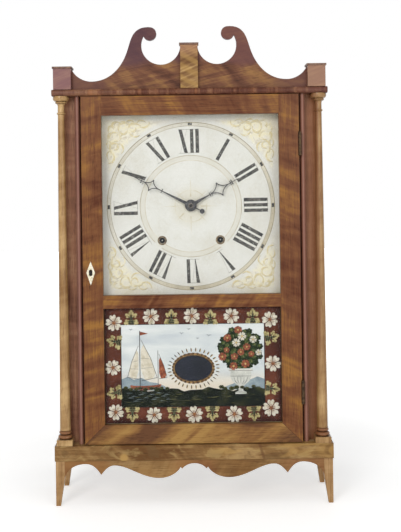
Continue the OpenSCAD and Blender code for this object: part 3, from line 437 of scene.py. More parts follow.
class Finish:
    """A material, or a world, whose nodes are laid by place in the frame's own coordinates."""

    def __init__(self, name, owner=None):
        self.owner = owner or bpy.data.materials.new(name)
        self.owner.use_nodes = True
        self.tree = self.owner.node_tree
        self.tree.nodes.clear()

    @cached_property
    def place(self):
        return self.node("TexCoord").outputs["Object"]

    @cached_property
    def axes(self):
        return self.parts(self.place)

    @property
    def x(self):
        return self.axes[0]

    @property
    def z(self):
        return self.axes[2]

    def node(self, kind, inputs=None, **options):
        """A shader node with its options, and its inputs as numbers, colours or other nodes' outputs."""
        made = self.tree.nodes.new("ShaderNode" + kind)
        for key, value in options.items():
            setattr(made, key, value)
        for key, value in (inputs or {}).items():
            socket = made.inputs[key]
            value = value.socket if isinstance(value, Value) else value
            if isinstance(value, bpy.types.NodeSocket):
                self.tree.links.new(value, socket)
            else:
                socket.default_value = rgba(value) if socket.type == "RGBA" else value
        return made

    def maths(self, operation, *values):
        return Value(self, self.node("Math", dict(enumerate(values)), operation=operation).outputs["Value"])

    def parts(self, vector):
        made = self.node("SeparateXYZ", {"Vector": vector})
        return [Value(self, made.outputs[axis]) for axis in "XYZ"]

    def normal(self):
        """The surface's direction as three numbers."""
        return self.parts(self.node("NewGeometry").outputs["Normal"])

    def distance(self, spot, place=None):
        made = self.node("VectorMath", {0: place or self.place, 1: spot}, operation="DISTANCE")
        return Value(self, made.outputs["Value"])

    def noise(self, cells, seed=0.0, detail=3.0, distortion=0.0, roughness=0.5, place=None):
        """Noise with this many cells per metre, along each axis or along all of them."""
        cells = cells if hasattr(cells, "__len__") else (cells,) * 3
        moved = {"Vector": place or self.place, "Scale": cells, "Location": (seed, seed * 1.7, -seed)}
        return Value(self, self.node("TexNoise", {
            "Vector": self.node("Mapping", moved).outputs["Vector"], "Scale": 1.0, "Detail": detail,
            "Roughness": roughness, "Distortion": distortion,
        }).outputs[0])

    def ramp(self, factor, *stops):
        """Colour ramp through (position, colour) stops."""
        made = self.node("ValToRGB", {"Fac": factor})
        elements = made.color_ramp.elements
        while len(elements) < len(stops):
            elements.new(0.5)
        for element, (position, _) in zip(elements, stops):
            element.position = position
        for element, (_, value) in zip(elements, stops):
            element.color = rgba(value)
        return made.outputs["Color"]

    def mix(self, share, first, second, blend="MIX"):
        """The first colour turned towards the second by a share."""
        made = self.node("Mix", {0: share, 6: first, 7: second}, data_type="RGBA", blend_type=blend)
        return made.outputs[2]

    def surface(self, base, roughness, shine=0.5, height=None, depth=0.0002, strength=0.3, edge=0.0, **more):
        """Ends a material in a Principled shader, with relief and with edges rounded by a radius.

        More inputs are given by name, in lower case and with an underscore for each space.
        """
        inputs = {"Base Color": base, "Roughness": roughness, "Specular IOR Level": shine}
        for key, value in more.items():
            inputs[key.replace("_", " ").title().replace("Ior", "IOR")] = value
        if edge:
            inputs["Normal"] = self.node("Bevel", {"Radius": edge}, samples=4).outputs["Normal"]
        if height is not None:
            relief = {"Height": height, "Distance": depth, "Strength": strength}
            if edge:
                relief["Normal"] = inputs["Normal"]
            inputs["Normal"] = self.node("Bump", relief).outputs["Normal"]
        shader = self.node("BsdfPrincipled", inputs)
        self.node("OutputMaterial", {"Surface": shader.outputs["BSDF"]})
        return self.owner


def figured(at, tones, angle=0.0, figure=0.7, band=34.0, tilt=0.0, streak=0.55, cloud=0.35, ripple=0.3,
            seed=0.0):
    """Figured wood's colour, its fibres and its pores. Fibres run along x turned by an angle about y."""
    dark, mid, pale = tones
    along, crossed = (
        at.node("VectorRotate", {"Vector": at.place, "Angle": a}, rotation_type="Y_AXIS").outputs["Vector"]
        for a in (angle, angle + tilt)
    )
    fibre = at.noise((14, 560, 560), seed, detail=2.0, place=along)
    streaks = at.noise((6, 120, 120), seed + 3.1, detail=4.0, distortion=0.9, roughness=0.62, place=along)
    bands = at.noise((band, band * 0.26, band * 0.26), seed + 7.7, detail=4.0, distortion=1.1, place=crossed)
    ripples = at.noise((190, 42, 42), seed + 9.1, detail=2.0, distortion=0.4, place=crossed)
    clouds = at.noise(9, seed + 11.0, detail=2.0)
    value = summed((fibre, 0.36), (streaks, streak * 1.7), (bands, figure * 1.7), (ripples, ripple * 0.9),
                   (clouds, cloud * 1.5))
    base = at.ramp(value, (0.18, dark), (0.5, mid), (0.8, pale))
    pores = at.noise((70, 950, 950), seed + 5.0, detail=1.0, place=along)
    return at.mix(pores.span(0.58, 0.7, 0.4), base, dark, "MULTIPLY"), fibre, pores


def wood(name, tones, shade=None, gloss=0.4, coat=0.05, **figure):
    """Polished figured wood. A shade changes its colour by place."""
    at = Finish(name)
    base, fibre, pores = figured(at, tones, **figure)
    if shade:
        base = shade(at, base)
    return at.surface(base, gloss, 0.14, coat_weight=coat, coat_roughness=0.22,
                      height=summed((fibre, 1.0), (pores, -0.6)), strength=0.25, edge=0.0006)


def plain_wood(name, dark, pale, axis, seed, lines=60.0, shade=None):
    """Bare wood with growth lines along an axis."""
    at = Finish(name)
    growth = at.noise([2.0 if a == axis else lines for a in "XYZ"], seed, distortion=0.6)
    fine = at.noise([12 if a == axis else 700 for a in "XYZ"], seed + 2.0, detail=2.0)
    stain = at.noise(7, seed + 4.0)
    base = at.ramp(summed((growth, 1.6), (fine, 0.5), (stain, 0.6)), (0.25, dark), (0.75, pale))
    if shade:
        base = shade(at, base)
    return at.surface(base, 0.62, 0.25, height=fine, edge=0.0004)


def metal(name, dark, pale, roughness, metallic, seed, cells, bumps=0.1):
    """Aged metal with dull patches."""
    at = Finish(name)
    patches = at.noise(cells, seed, detail=4.0)
    fine = at.noise(cells * 9, seed + 1.0, detail=2.0)
    base = at.ramp(summed((patches, 1.5), (fine, 0.4)), (0.25, dark), (0.75, pale))
    limits = {"From Min": 0.3, "From Max": 0.7, "To Min": roughness * 1.35, "To Max": roughness * 0.8}
    rough = at.node("MapRange", {"Value": patches, **limits}).outputs["Result"]
    return at.surface(base, rough, metallic=metallic, height=fine, strength=bumps, edge=0.0003)


def paint(name, colours, cells, roughness, seed, wear=None, spread=1.4, shine=0.3):
    """Old brushed paint through colours from dark to pale, with worn specks of another colour."""
    at = Finish(name)
    coarse = at.noise(cells, seed, detail=4.0)
    fine = at.noise(cells * 12, seed + 2.0, detail=2.0)
    step = 0.5 / (len(colours) - 1)
    base = at.ramp(summed((coarse, spread), (fine, spread * 0.4)), *(
        (0.25 + i * step, value) for i, value in enumerate(colours)))
    if wear:
        worn, amount = wear
        specks = at.noise(520, seed + 6.0, roughness=0.6)
        base = at.mix(specks.span(0.72 - amount, 0.78 - amount), base, worn)
    return at.surface(base, roughness, shine, height=fine, depth=0.0001, strength=0.2)


def clear_pane(name):
    """Thin old glass with faint waves, seen through almost wholly."""
    at = Finish(name)
    waves = at.noise((14, 14, 9), 2.0, detail=1.0)
    base = at.ramp(waves, (0.3, tone(70, 80, 76)), (0.7, tone(96, 104, 98)))
    return at.surface(base, 0.05, 0.35, alpha=0.04, ior=1.45, height=waves, depth=0.0004, strength=0.05)


def dress(finish, *names):
    """Gives CAD nodes a finish."""
    for name in names:
        slots = frame["nodes"][name].data.materials
        if not len(slots):
            slots.append(finish)
        for i in range(len(slots)):
            slots[i] = finish


# ---- Case ----


UPRIGHT = math.pi / 2
STILE_WIDTH = 33 * MM
PLANK_JOINT = 0.068  # from the back's middle line to the joints between its boards
MITRE_X = 0.1427  # from the door's middle line to the mitres' inner corners
BASE_KNOT = (-0.1125, -0.059, 0.0765)
FLAME = dict(figure=1.5, band=20, tilt=-0.95, seed=12.0, cloud=0.7, streak=0.25)
BOTTOM_TONES = (tone(98, 63, 38), tone(136, 96, 53), tone(164, 126, 70))
CREST_ENDS = tone(78, 42, 25), tone(143, 102, 60)
JAMB_TONES = (tone(96, 56, 38), tone(134, 90, 66), tone(160, 118, 88))
FEET_TONES = (tone(132, 96, 56), tone(170, 134, 92), tone(194, 160, 116))
COLUMN_TONES = (tone(134, 96, 54), tone(168, 132, 86), tone(196, 162, 112))


class CLOCK_OT_veneer_case(Operator):
    """Veneer the case, the crest, the door and the columns"""

    bl_idname = "clock.veneer_case"
    bl_label = "Veneer the Case"

    def execute(self, context):
        w = settings("wood")
        door = (w.door_dark, w.door_mid, w.door_pale)
        case = (w.case_dark, w.case_mid, w.case_pale)
        base = (w.base_dark, w.base_mid, w.base_pale)
        dress(wood("crest flame veneer", (CREST_ENDS[0], w.crest_foot, CREST_ENDS[1]), crest_shade, angle=0.2,
                   figure=1.0, band=24, tilt=0.7, seed=1.0, cloud=0.7, ripple=0.4), "crest_board")
        dress(wood("crest plinth veneer", (w.base_dark, w.base_mid, w.gold_pale), plinth_shade, angle=0.4,
                   figure=0.5, band=60, tilt=1.2, seed=4.3, streak=1.0), "crest_plinths")
        dress(wood("cornice cross veneer", case, cornice_shade, angle=UPRIGHT, figure=0.4, band=24,
                   streak=1.0, seed=6.0, cloud=0.6), "cornice_board")
        dress(wood("left stile veneer", door, mitre_shade(-1), angle=UPRIGHT, figure=0.75, band=32, tilt=0.3,
                   seed=8.0, streak=0.3, cloud=0.6), "door_left_stile")
        dress(wood("right stile veneer", door, mitre_shade(1), angle=UPRIGHT, figure=0.7, band=30, tilt=-0.35,
                   seed=9.4, streak=0.3, cloud=0.6), "door_right_stile")
        dress(wood("door top rail veneer", door, figure=0.6, band=30, tilt=0.5, seed=10.0, cloud=0.5),
              "door_top_rail")
        dress(wood("door middle rail veneer", door, band=36, tilt=-0.6, seed=11.0, cloud=0.8),
              "door_middle_rail")
        dress(wood("door bottom rail veneer", BOTTOM_TONES, **FLAME), "door_bottom_rail")
        dress(wood("jamb veneer", JAMB_TONES, bead_shade, angle=UPRIGHT, figure=0.5, band=26, seed=13.0),
              "jambs")
        dress(wood("side board veneer", case, angle=UPRIGHT, figure=0.35, band=12, seed=14.0, streak=0.8),
              "side_boards")
        dress(wood("base rail veneer", base, base_shade, figure=0.8, band=26, tilt=0.75, seed=15.0,
                   streak=0.7, cloud=0.9), "base_front_rail", "base_side_rails")
        dress(wood("skirt veneer", base, skirt_shade, figure=0.6, band=24, tilt=-0.5, seed=17.0, cloud=0.7),
              "front_skirt")
        dress(wood("side skirt and feet", FEET_TONES, angle=UPRIGHT, figure=0.4, band=24, seed=18.0),
              "side_skirts")
        dress(wood("column wood", COLUMN_TONES, column_shade, gloss=0.32, coat=0.25, angle=UPRIGHT,
                   figure=0.6, band=16, tilt=0.3, seed=19.0), "columns", "column_plinths")
        dress(cap_finish(), "crest_caps")
        self.painted_edge_highlight()
        dress(clear_pane("old clear glass"), "dial_glass", "tablet_glass")
        pine = (w.pine_dark, w.pine_pale)
        dress(plain_wood("aged pine boards", *pine, "Z", 2.0, shade=plank_shade), "back_board")
        dress(plain_wood("aged pine", *pine, "Z", 2.5), "weight_partitions")
        dress(plain_wood("aged pine lying", *pine, "X", 3.0), "base_deck", "inner_rails", "pulley_blocks")
        return {"FINISHED"}

    def painted_edge_highlight(self):
        """Painted highlight: a pale line along the lower edge of the tablet's opening, where the edge catches
        light.
        """
        # painted highlight along the opening's lower edge
        pale = paint("painted veneer edge highlight", [tone(150, 118, 88), tone(206, 184, 152)], 200, 0.6, 27.0)
        top = high("door_bottom_rail")[2]
        reach = high("door_right_stile")[0] - STILE_WIDTH
        painted("worn_opening_edge", [rect(-reach, top - 1.0 * MM, reach, top - 0.2 * MM)],
                low("door_bottom_rail")[1] + 0.02 * MM, 0.05 * MM, "door", "door_veneer", pale)


def crest_shade(at, base):
    """Purple-brown scrolls above a wavy seam, and warm curls of figure below it."""
    height = at.noise(18, 31.0, detail=2.0).times_plus(0.03, at.z - 0.015)
    violet = at.mix(at.x.span(-0.06, 0.06), settings("wood").crest_tip, tone(104, 65, 62))
    tip = at.mix(0.72, base, violet)
    base = at.mix(abs(at.x).span(0.118, 0.150, 0.6), base, tone(98, 60, 54))
    return at.mix(height.span(0.702, 0.718), base, tip)


def plinth_shade(at, base):
    """The middle plinth has golden bands that fall to the right. The corner ones are duller and pinker."""
    fall = at.noise(30, 33.0, detail=2.0).times_plus(0.012, at.x.times_plus(0.55, at.z))
    bands = at.maths("SINE", fall * 360.0)
    gold = at.mix(bands.span(-0.8, 0.9, 0.5), base, tone(172, 134, 76))
    gold = at.mix(bands.span(-0.4, -1.0, 0.22), gold, tone(118, 76, 48))
    gold = at.mix(at.z.span(0.712, 0.738, 0.55), gold, tone(168, 122, 98))
    pink = at.mix(at.x.span(-0.1, 0.1), tone(128, 88, 96), tone(156, 118, 100))
    return at.mix(abs(at.x).span(0.1, 0.12), gold, at.mix(0.75, base, pink))


def cornice_shade(at, base):
    """Patches of darker and lighter cross-banding."""
    patches = at.noise((42, 42, 6), 8.0, detail=2.0)
    base = at.mix(patches.span(0.47, 0.6, 0.65), base, tone(84, 48, 38))
    base = at.mix(patches.span(0.45, 0.34, 0.5), base, tone(160, 104, 66))
    return at.mix(abs(at.x).span(0.150, 0.205, 0.5), base, tone(96, 60, 56))


def bead_shade(at, base):
    """The bead beside the door is pinker than the jamb's flat, with a painted highlight along it: a paler
    line where the round bead catches light.
    """
    away = abs(at.x)
    base = at.mix(at.x.span(0.0, 0.1, 0.45), base, tone(150, 98, 60))
    base = at.mix(away.span(0.1868, 0.1858, 0.6), base, tone(112, 74, 66))
    # painted highlight: a pale line along the bead
    line = away.span(0.1795, 0.1808, 0.5) * away.span(0.1834, 0.1820)
    return at.mix(line, base, tone(162, 120, 108))


def mitre_shade(side):
    """Below the mitre at a door's lower corner, a stile shows the bottom rail's veneer."""

    def shade(at, base):
        corner_z = high("door_bottom_rail")[2]
        foot_x, foot_z = high("door_right_stile")[0], low("door_bottom_rail")[2]
        slope = (corner_z - foot_z) / (foot_x - MITRE_X)
        rise = at.z - corner_z
        over = rise - at.x.times_plus(-side * slope, MITRE_X * slope)
        base = at.mix(over.span(0.0003, -0.0003), base, figured(at, BOTTOM_TONES, **FLAME)[0])
        seam = over.span(-0.0009, -0.0001, 0.7) * over.span(0.0009, 0.0001) * rise.span(0.0005, 0.0)
        return at.mix(seam, base, tone(58, 34, 22))

    return shade


def base_shade(at, base):
    """A golden knot left of the middle, olive swirls, golden patches at the right and a dark fork."""
    gold = tone(184, 146, 84)
    swirl = at.noise((20, 20, 34), 35.0, distortion=1.8)
    base = at.mix(swirl.span(0.54, 0.66, 0.5), base, tone(176, 148, 96))
    base = at.mix(swirl.span(0.46, 0.36, 0.55), base, tone(104, 78, 46))
    base = at.mix(at.distance(BASE_KNOT).span(0.0085, 0.004, 0.75), base, gold)
    patches = at.noise((16, 16, 40), 21.0, distortion=0.8)
    base = at.mix(at.x.span(0.0, 0.06, 0.5) * patches.span(0.46, 0.62), base, gold)
    lean = (at.z - 0.086).times_plus(0.3, at.x - 0.108)
    return at.mix(abs(lean).span(0.0035, 0.0008, 0.5), base, tone(92, 56, 34))


def skirt_shade(at, base):
    """Redder at the outer scallops and the middle, golden between, with a pale worn lower edge."""
    away = abs(at.x)
    red = away.span(0.12, 0.16, 0.55).or_more(away.span(0.045, 0.02, 0.55))
    base = at.mix(red, base, tone(134, 86, 54))
    base = at.mix(at.noise((11, 11, 16), 23.0, detail=2.0).span(0.44, 0.62, 0.4), base, tone(164, 122, 70))
    return at.mix(at.normal()[2].span(-0.2, -0.6, 0.7), base, tone(188, 158, 120))


def column_shade(at, base):
    """Redder feet, painted shade in the creases of the capitals' and bases' turnings, and a browner right
    column with painted shade on its flank that faces the door.
    """
    start = low("columns")[2]
    # a browner tone over the right column, and painted shade on its flank that faces the door
    right = at.x.span(0.0, 0.1) * at.z.span(0.14, 0.30)
    flank = at.normal()[0].span(0.1, -0.6).times_plus(0.5, 0.28)
    base = at.mix(right * flank, base, tone(116, 70, 44))
    foot = at.z.span(start + 16 * MM, start + 12 * MM, 0.75) * at.z.span(start, start + MM)
    base = at.mix(foot, base, tone(122, 72, 46))
    # painted shade: ambient occlusion darkens the creases of the turnings
    crease_shade = at.node("AmbientOcclusion", {"Distance": 0.006}, samples=4, inside=False).outputs["AO"]
    return at.mix(Value(at, crease_shade).span(0.85, 0.35, 0.75), base, tone(64, 36, 22))


def plank_shade(at, base):
    """Two dark joints between the boards of the back."""
    return at.mix(abs(abs(at.x) - PLANK_JOINT).span(0.0011, 0.0005), base, tone(44, 30, 18))


def cap_finish():
    """Dusty thin caps, pale on top, and darker on their other faces as painted shade."""
    at = Finish("dusty cap with painted shade")
    dust = at.noise(160, 3.0, detail=4.0)
    # the pale dusty ramp goes on faces that point up; the darker ramp, painted shade, goes on all others
    worn = at.ramp(dust, (0.3, tone(138, 132, 118)), (0.7, tone(186, 186, 172)))
    edge = at.ramp(dust, (0.3, tone(80, 50, 44)), (0.7, tone(134, 104, 84)))
    return at.surface(at.mix(at.normal()[2].span(0.5, 0.9), edge, worn), 0.5, 0.3, height=dust, edge=0.0005)


# ---- Dial ----


LAYER = 0.00003  # step between layers of paint
PAINT_DROP = 1.2 * MM  # the painted rings sit this much below the hands' arbor
ALL_ROUND = 96  # points round a painted circle
DIAL_HALF = 142.7  # half the width of the dial's opening, in mm
HOLE_RADIUS = 5  # of a winding hole, in mm
HOLE_GAP = 7 * MM  # a ring that meets a winding hole stops this far from its middle
BAND_IN, BAND_OUT = 5 * MM, 3 * MM  # the beige ring's edges, inside and outside its named radius
NUMERALS = (  # hour and the hand-painted numeral's own angle, in degrees clockwise from the top
    ("XII", -1.0), ("I", 30.2), ("II", 59.6), ("III", 89.6), ("IIII", 119.0), ("V", 148.1),
    ("VI", 178.5), ("VII", 207.0), ("VIII", 238.7), ("IX", 269.3), ("X", 299.4), ("XI", 330.2),
)
SCROLL = (  # half a corner's scroll in mm from the corner: curve, steps, half widths along it
    (((15, 62), (8, 50), (14, 40), (22, 44)), 12, (0.5, 2.6, 0.8)),
    (((22, 44), (28, 48), (24, 56), (18, 54)), 10, (0.8, 1.6, 0.5)),
    (((14, 44), (6, 36), (10, 24), (22, 26)), 12, (0.5, 2.8, 0.8)),
    (((22, 26), (32, 30), (30, 40), (22, 40)), 10, (0.8, 1.8, 0.5)),
    (((10, 28), (6, 18), (14, 12), (20, 18)), 10, (0.5, 2.2, 0.7)),
    (((16, 60), (22, 68), (16, 78), (8, 76)), 12, (0.4, 1.9, 0.3)),
    (((26, 44), (34, 46), (36, 56), (30, 60)), 10, (0.4, 1.6, 0.3)),
    (((30, 30), (38, 30), (42, 22), (40, 18)), 10, (0.4, 1.5, 0.3)),
    (((9, 52), (5, 46), (6, 40), (10, 38)), 8, (0.3, 1.3, 0.3)),
    (((9, 70), (5, 64), (6, 58), (11, 56)), 8, (0.3, 1.2, 0.3)),
)


def numeral_strokes(text, r0, r1, stroke):
    """Thick strokes and hairlines of a Roman numeral, in (clockwise, outward) from its middle."""
    gap, hair = stroke * 0.6, stroke * 0.07
    thick, thin = [], []
    x = 0.0
    for letter in text:
        if letter == "I":
            thick.append([(x, r1), (x + stroke, r1), (x + stroke, r0), (x, r0)])
            width = stroke
        elif letter == "V":
            tip, top = x + stroke * 1.25, x + stroke * 2.2
            thick.append([(x, r1), (x + stroke * 1.06, r1), (tip + hair, r0), (tip - hair, r0)])
            thin.append([(top, r1), (top + hair, r1), (tip + hair, r0), (tip, r0)])
            width = stroke * 2.25
        else:
            lean = stroke * 1.55
            top, foot = x + stroke + lean, x + stroke * 0.3
            thick.append([(x, r1), (x + stroke, r1), (top, r0), (x + lean, r0)])
            thin.append([(top - hair, r1), (top, r1), (foot + hair, r0), (foot, r0)])
            width = stroke + lean + 0.2 * stroke
        x += width + gap
    x -= gap
    thin += [[(0, r - hair), (x, r - hair), (x, r + hair), (0, r + hair)] for r in (r0, r1)]
    return [[[(u - x / 2, r) for u, r in shape] for shape in shapes] for shapes in (thick, thin)]


def on_dial(shape, angle, centre_z):
    """A (clockwise, outward) outline set on the dial at an angle clockwise from the top."""
    s, c = math.sin(angle), math.cos(angle)
    return [(u * c + r * s, centre_z - u * s + r * c) for u, r in shape]


def ring(radius, width, centre_z):
    """Both edges of a painted ring."""
    return [circle(0.0, centre_z, radius + side * width / 2, count=ALL_ROUND) for side in (1, -1)]


def open_ring(radius, width, centre_z, holes):
    """Arcs of a painted ring that stop on both sides of each hole that it meets."""
    turns = sorted(math.atan2(x, z - centre_z) % math.tau for x, z in holes)
    gap = HOLE_GAP / radius
    arcs = []
    for start, end in zip(turns, turns[1:] + [turns[0] + math.tau]):
        sweep = end - start - 2 * gap
        count = max(8, round(ALL_ROUND * sweep / math.tau))
        angles = [start + gap + sweep * i / count for i in range(count + 1)]
        path = [(radius * math.sin(a), centre_z + radius * math.cos(a)) for a in angles]
        arcs.append(ribbon(path, width / 2))
    return arcs


def swelling(count, start, most, end):
    """Half widths in metres along a stroke that swells in its middle, from widths in mm."""
    widths = []
    for i in range(count):
        t = 2 * i / (count - 1)
        widths.append((start + (most - start) * t if t < 1 else most + (end - most) * (t - 1)) * MM)
    return widths


class CLOCK_OT_paint_dial(Operator):
    """Paint the dial: ground, rings, numerals, minute track and corner scrolls"""

    bl_idname = "clock.paint_dial"
    bl_label = "Paint the Dial"

    def execute(self, context):
        d = settings("dial")
        self.centre_z = hand_axis() - PAINT_DROP
        self.face = low("dial_board")[1]
        dress(self.ground(d), "dial_board")
        ink = paint("dial ink", [tone(64, 64, 67), d.ink, tone(112, 109, 104)], 220, 0.6, 1.0,
                    wear=(d.ground, 0.09), spread=1.6)
        self.numerals(d, ink)
        self.rings(d, ink)
        self.corners(d)
        return {"FINISHED"}

    def layer(self, name, shapes, step, finish):
        painted(name, shapes, self.face - step * LAYER, LAYER * 0.8, "case", "dial_paint", finish)

    def numerals(self, d, ink):
        rng = random.Random(41)
        thick, thin = [], []
        for text, degrees in NUMERALS:
            angle = math.radians(degrees)
            bars, hairs = numeral_strokes(text, d.numeral_in, d.numeral_out, d.stroke)
            for bar in bars:
                shift = rng.uniform(-0.5, 0.5) * MM
                bar = [(u + rng.uniform(-0.25, 0.25) * MM, r + shift) for u, r in bar]
                thick.append(on_dial(bar, angle, self.centre_z))
            thin += [on_dial(hair, angle, self.centre_z) for hair in hairs]
        self.layer("dial_numerals", thick, 3, ink)
        self.layer("dial_numeral_hairlines", thin, 2,
                   paint("dial hairlines", [tone(150, 148, 140), tone(196, 194, 184)], 400, 0.6, 2.0))

    def rings(self, d, ink):
        """Rings, hour marks, minute dots, the star in the middle and the winding holes' worn edges."""
        z = self.centre_z
        holes = [middle(name)[::2] for name in ("going_barrel", "strike_barrel")]
        brown = paint("dial track lines", [tone(126, 110, 76), tone(186, 172, 134)], 60, 0.6, 3.0)
        soft = paint("dial inner ring lines", [tone(198, 184, 150), tone(228, 222, 204)], 60, 0.6, 4.0)
        self.layer("dial_inner_ring_lines", [*open_ring(d.inner_ring - BAND_IN, 0.8 * MM, z, holes),
                                             *open_ring(d.inner_ring + BAND_OUT, 1.0 * MM, z, holes)],
                   2, soft)
        self.layer("dial_track_lines", [
            ring(d.track_in, 0.6 * MM, z), ring(d.track_out, 0.9 * MM, z),
            *open_ring(d.inner_ring + 3.2 * MM, 0.3 * MM, z, holes)], 2, brown)
        track = (d.track_in + d.track_out) / 2
        wide, tall = d.lozenge * 0.85, d.lozenge / 2
        mark = rect(-wide, track - tall, wide, track + tall)
        marks = [on_dial(mark, math.radians(30 * i), z) for i in range(12)]
        self.layer("dial_hour_marks", marks, 4, ink)
        dot = slab([circle(0, 0, 0.45 * MM, count=10)], 0, LAYER)
        turns = [math.radians(6 * i) for i in range(60) if i % 5]
        dots = [(track * math.sin(a), self.face - 3 * LAYER, z + track * math.cos(a), 0.0, 1.0)
                for a in turns]
        repeat("dial_minute_dots", dot, dots, "case", brown)
        rays = [on_dial([(-MM, 16 * MM), (MM, 16 * MM), (0, (38 if i % 2 else 48) * MM)], i * math.tau / 8, z)
                for i in range(8)]
        self.layer("dial_centre_star", [*rays, ring(26 * MM, 1.2 * MM, z)], 1,
                   paint("dial faded star", [tone(208, 198, 166), tone(234, 231, 216)], 90, 0.6, 5.0))
        edges = [[circle(hx, hz, (HOLE_RADIUS + off) * MM, count=40) for off in (2.6, 0.1)]
                 for hx, hz in holes]
        self.layer("dial_hole_rings", edges, 2,
                   paint("dial hole stain", [tone(84, 68, 54), tone(166, 148, 120)], 300, 0.6, 7.0))

    def corners(self, d):
        corner_z = {-1: high("door_middle_rail")[2], 1: low("door_top_rail")[2]}
        drop = 0.75 * MM
        fills, lines = [], []
        for sx in (-1, 1):
            for sz in (-1, 1):
                for curve, steps, widths in SCROLL:
                    points = bezier(curve, steps)
                    swell = swelling(len(points), *widths)
                    for run in (points, [(b, a) for a, b in points]):
                        path = [(sx * (DIAL_HALF - a) * MM, corner_z[sz] - sz * b * MM) for a, b in run]
                        fills.append(ribbon(path, swell))
                        under = [(x + drop * 0.6, z - drop) for x, z in path]
                        lines.append(ribbon(under, [w * 0.55 + 0.1 * MM for w in swell]))
        self.layer("dial_scroll_shades", lines, 1,
                   paint("dial scroll shade", [tone(150, 138, 106), tone(206, 196, 168)], 120, 0.6, 9.0,
                         wear=(d.ground, 0.16)))
        self.layer("dial_scrolls", fills, 2,
                   paint("dial faded gilt", [tone(226, 214, 170), d.gilt, tone(247, 242, 218)], 120, 0.5, 8.0,
                         wear=(d.ground, 0.14)))

    def ground(self, d):
        """Cream paint, yellower in the corners and painted lighter there to offset the shade of the door's
        frame, with soft faded rings about the centre.
        """
        at = Finish("dial ground")
        down = at.z - self.centre_z
        flat = at.node("CombineXYZ", {"X": at.x, "Z": down}).outputs["Vector"]
        away = at.distance((0, 0, 0), flat)
        blots = at.noise(22, 3.0, detail=5.0, roughness=0.6)
        fine = at.noise(260, 5.0)
        cream = at.ramp(summed((blots, 1.2), (fine, 0.5)),
                        (0.2, tone(224, 222, 210)), (0.5, d.ground), (0.8, tone(239, 239, 233)))
        aged = at.ramp(summed((blots, 2.2), (fine, 0.4)),
                       (0.25, tone(236, 228, 202)), (0.5, d.aged), (0.8, tone(250, 248, 238)))
        # yellowed paint, and painted light: the corners are lighter than the middle to offset the frame's
        # shade
        base = at.mix(away.span(0.130, 0.19), cream, aged)
        tall = abs(at.z - (high("door_middle_rail")[2] + low("door_top_rail")[2]) / 2)
        leaves = at.ramp(at.noise(60, 41.0, distortion=2.4),
                         (0.34, tone(214, 204, 174)), (0.46, tone(246, 241, 222)), (0.6, tone(250, 243, 206)))
        inside = abs(at.x).span(0.138, 0.130, 0.75) * tall.span(0.140, 0.132) * away.span(0.141, 0.150)
        base = at.mix(inside, base, leaves)
        track = at.ramp(blots, (0.35, tone(180, 166, 130)), (0.65, tone(224, 216, 190)))
        # the track's colour shows more towards the right and the bottom
        worn = (at.x - down).span(-0.08, 0.16).times_plus(0.5, 0.35)
        base = at.mix(self.band(away, d.track_in, d.track_out) * worn, base, track)
        inner = self.band(away, d.inner_ring - BAND_IN, d.inner_ring + BAND_OUT) * 0.24
        base = at.mix(inner, base, tone(214, 205, 176))
        base = at.mix(away.span(0.044, 0.012, 0.45), base, tone(222, 213, 184))
        cracks = at.node("TexVoronoi", {"Vector": at.place, "Scale": 150.0}, feature="DISTANCE_TO_EDGE")
        line = Value(at, cracks.outputs["Distance"]).span(0.03, 0.0, 0.12)
        base = at.mix(line, base, tone(150, 138, 116))
        return at.surface(base, 0.55, height=fine, depth=0.0001, strength=0.15)

    def band(self, away, inner, outer):
        """Soft-edged share of a ring between two radii."""
        soft = 1.6 * MM
        return away.span(inner - soft, inner + soft) * away.span(outer + soft, outer - soft)


# ---- Tablet ----


FLOWERS = (  # (x, z) of the border's flowers, in mm
    (-127.2, 290.9), (-67.1, 300.5), (-1.3, 300.8), (62.9, 299.9), (125.1, 293.3), (-129.4, 218.6),
    (-125.8, 146.5), (129.2, 222.2), (125.5, 150.1), (-63.9, 141.2), (1.2, 141.2), (65.8, 141),
)
SPRIGS = (  # (x, z, way that the tip points, in degrees from +x towards +z)
    (-99.0, 298.6, 90), (-34.1, 298.9, 90), (29.1, 297.4, 90), (97.5, 298.6, 90),
    (-126.5, 260.9, 168), (-126.9, 177.7, 188), (127.2, 264.5, 12), (127.2, 181.5, -8),
    (-98.8, 143.4, 270), (-31.6, 142.4, 268), (30.5, 143.2, 270), (97.7, 142.4, 272),
)
SPRIG_LEAVES = (  # way in degrees, start and size of a sprig's leaves
    (90, 2, 10.5), (35, 0, 10.5), (145, 0, 10.5), (-30, -3, 12.5), (210, -3, 12.5),
)
SPRIG_STEMS = ((32, 0), (148, 0), (-24, -3), (204, -3), (90, 2))  # way in degrees and start
PICTURE_BOX = (-115.4, 154.6, 115.2, 287.2)
OVAL = (0.6, 216.0)
EDGE_LINE = 1.1  # width of the line round the picture, in mm
BORDER_INSET = 4.2  # the painted border stops this much inside the glass's edge, in mm
SCENE_DROP = -4.4  # the picture's own drawing is this much higher, in mm
TABLET_LAYER = 0.00005  # step between layers of paint
TABLET_PAINT = TABLET_LAYER * 0.8  # thickness of a layer
DARK_SHINE = 0.06
SPIRAL_TURN = 2.39996  # radians between neighbours in an evenly filled disc
LEAF_SPOTS = 86  # clumps of leaves in the bouquet
BOUQUET_Z = 250  # height of its middle, in mm
BOUQUET_REACH = (33, 34)  # half its width and height, in mm
URN_X = 77.0  # middle of the urn, in mm
HALF_URN = ((9, 178), (9, 181), (4, 183), (3.4, 189), (7, 193), (14, 199), (17.4, 208), (16, 214),
            (19.4, 216), (19.4, 219), (0, 219))
FAR_HILL = ((-40, 185), (-46, 192), (-58, 197), (-70, 199), (-84, 206), (-96, 203), (-106, 208))
NEAR_HILL = ((104, 206), (92, 201), (70, 197), (54, 191))
BIRDS = ((-18, 276, 4), (-6, 283, 3), (26, 272, 4.4), (8, 268, 2.8), (-100, 283, 3.4))  # (x, z, half span)
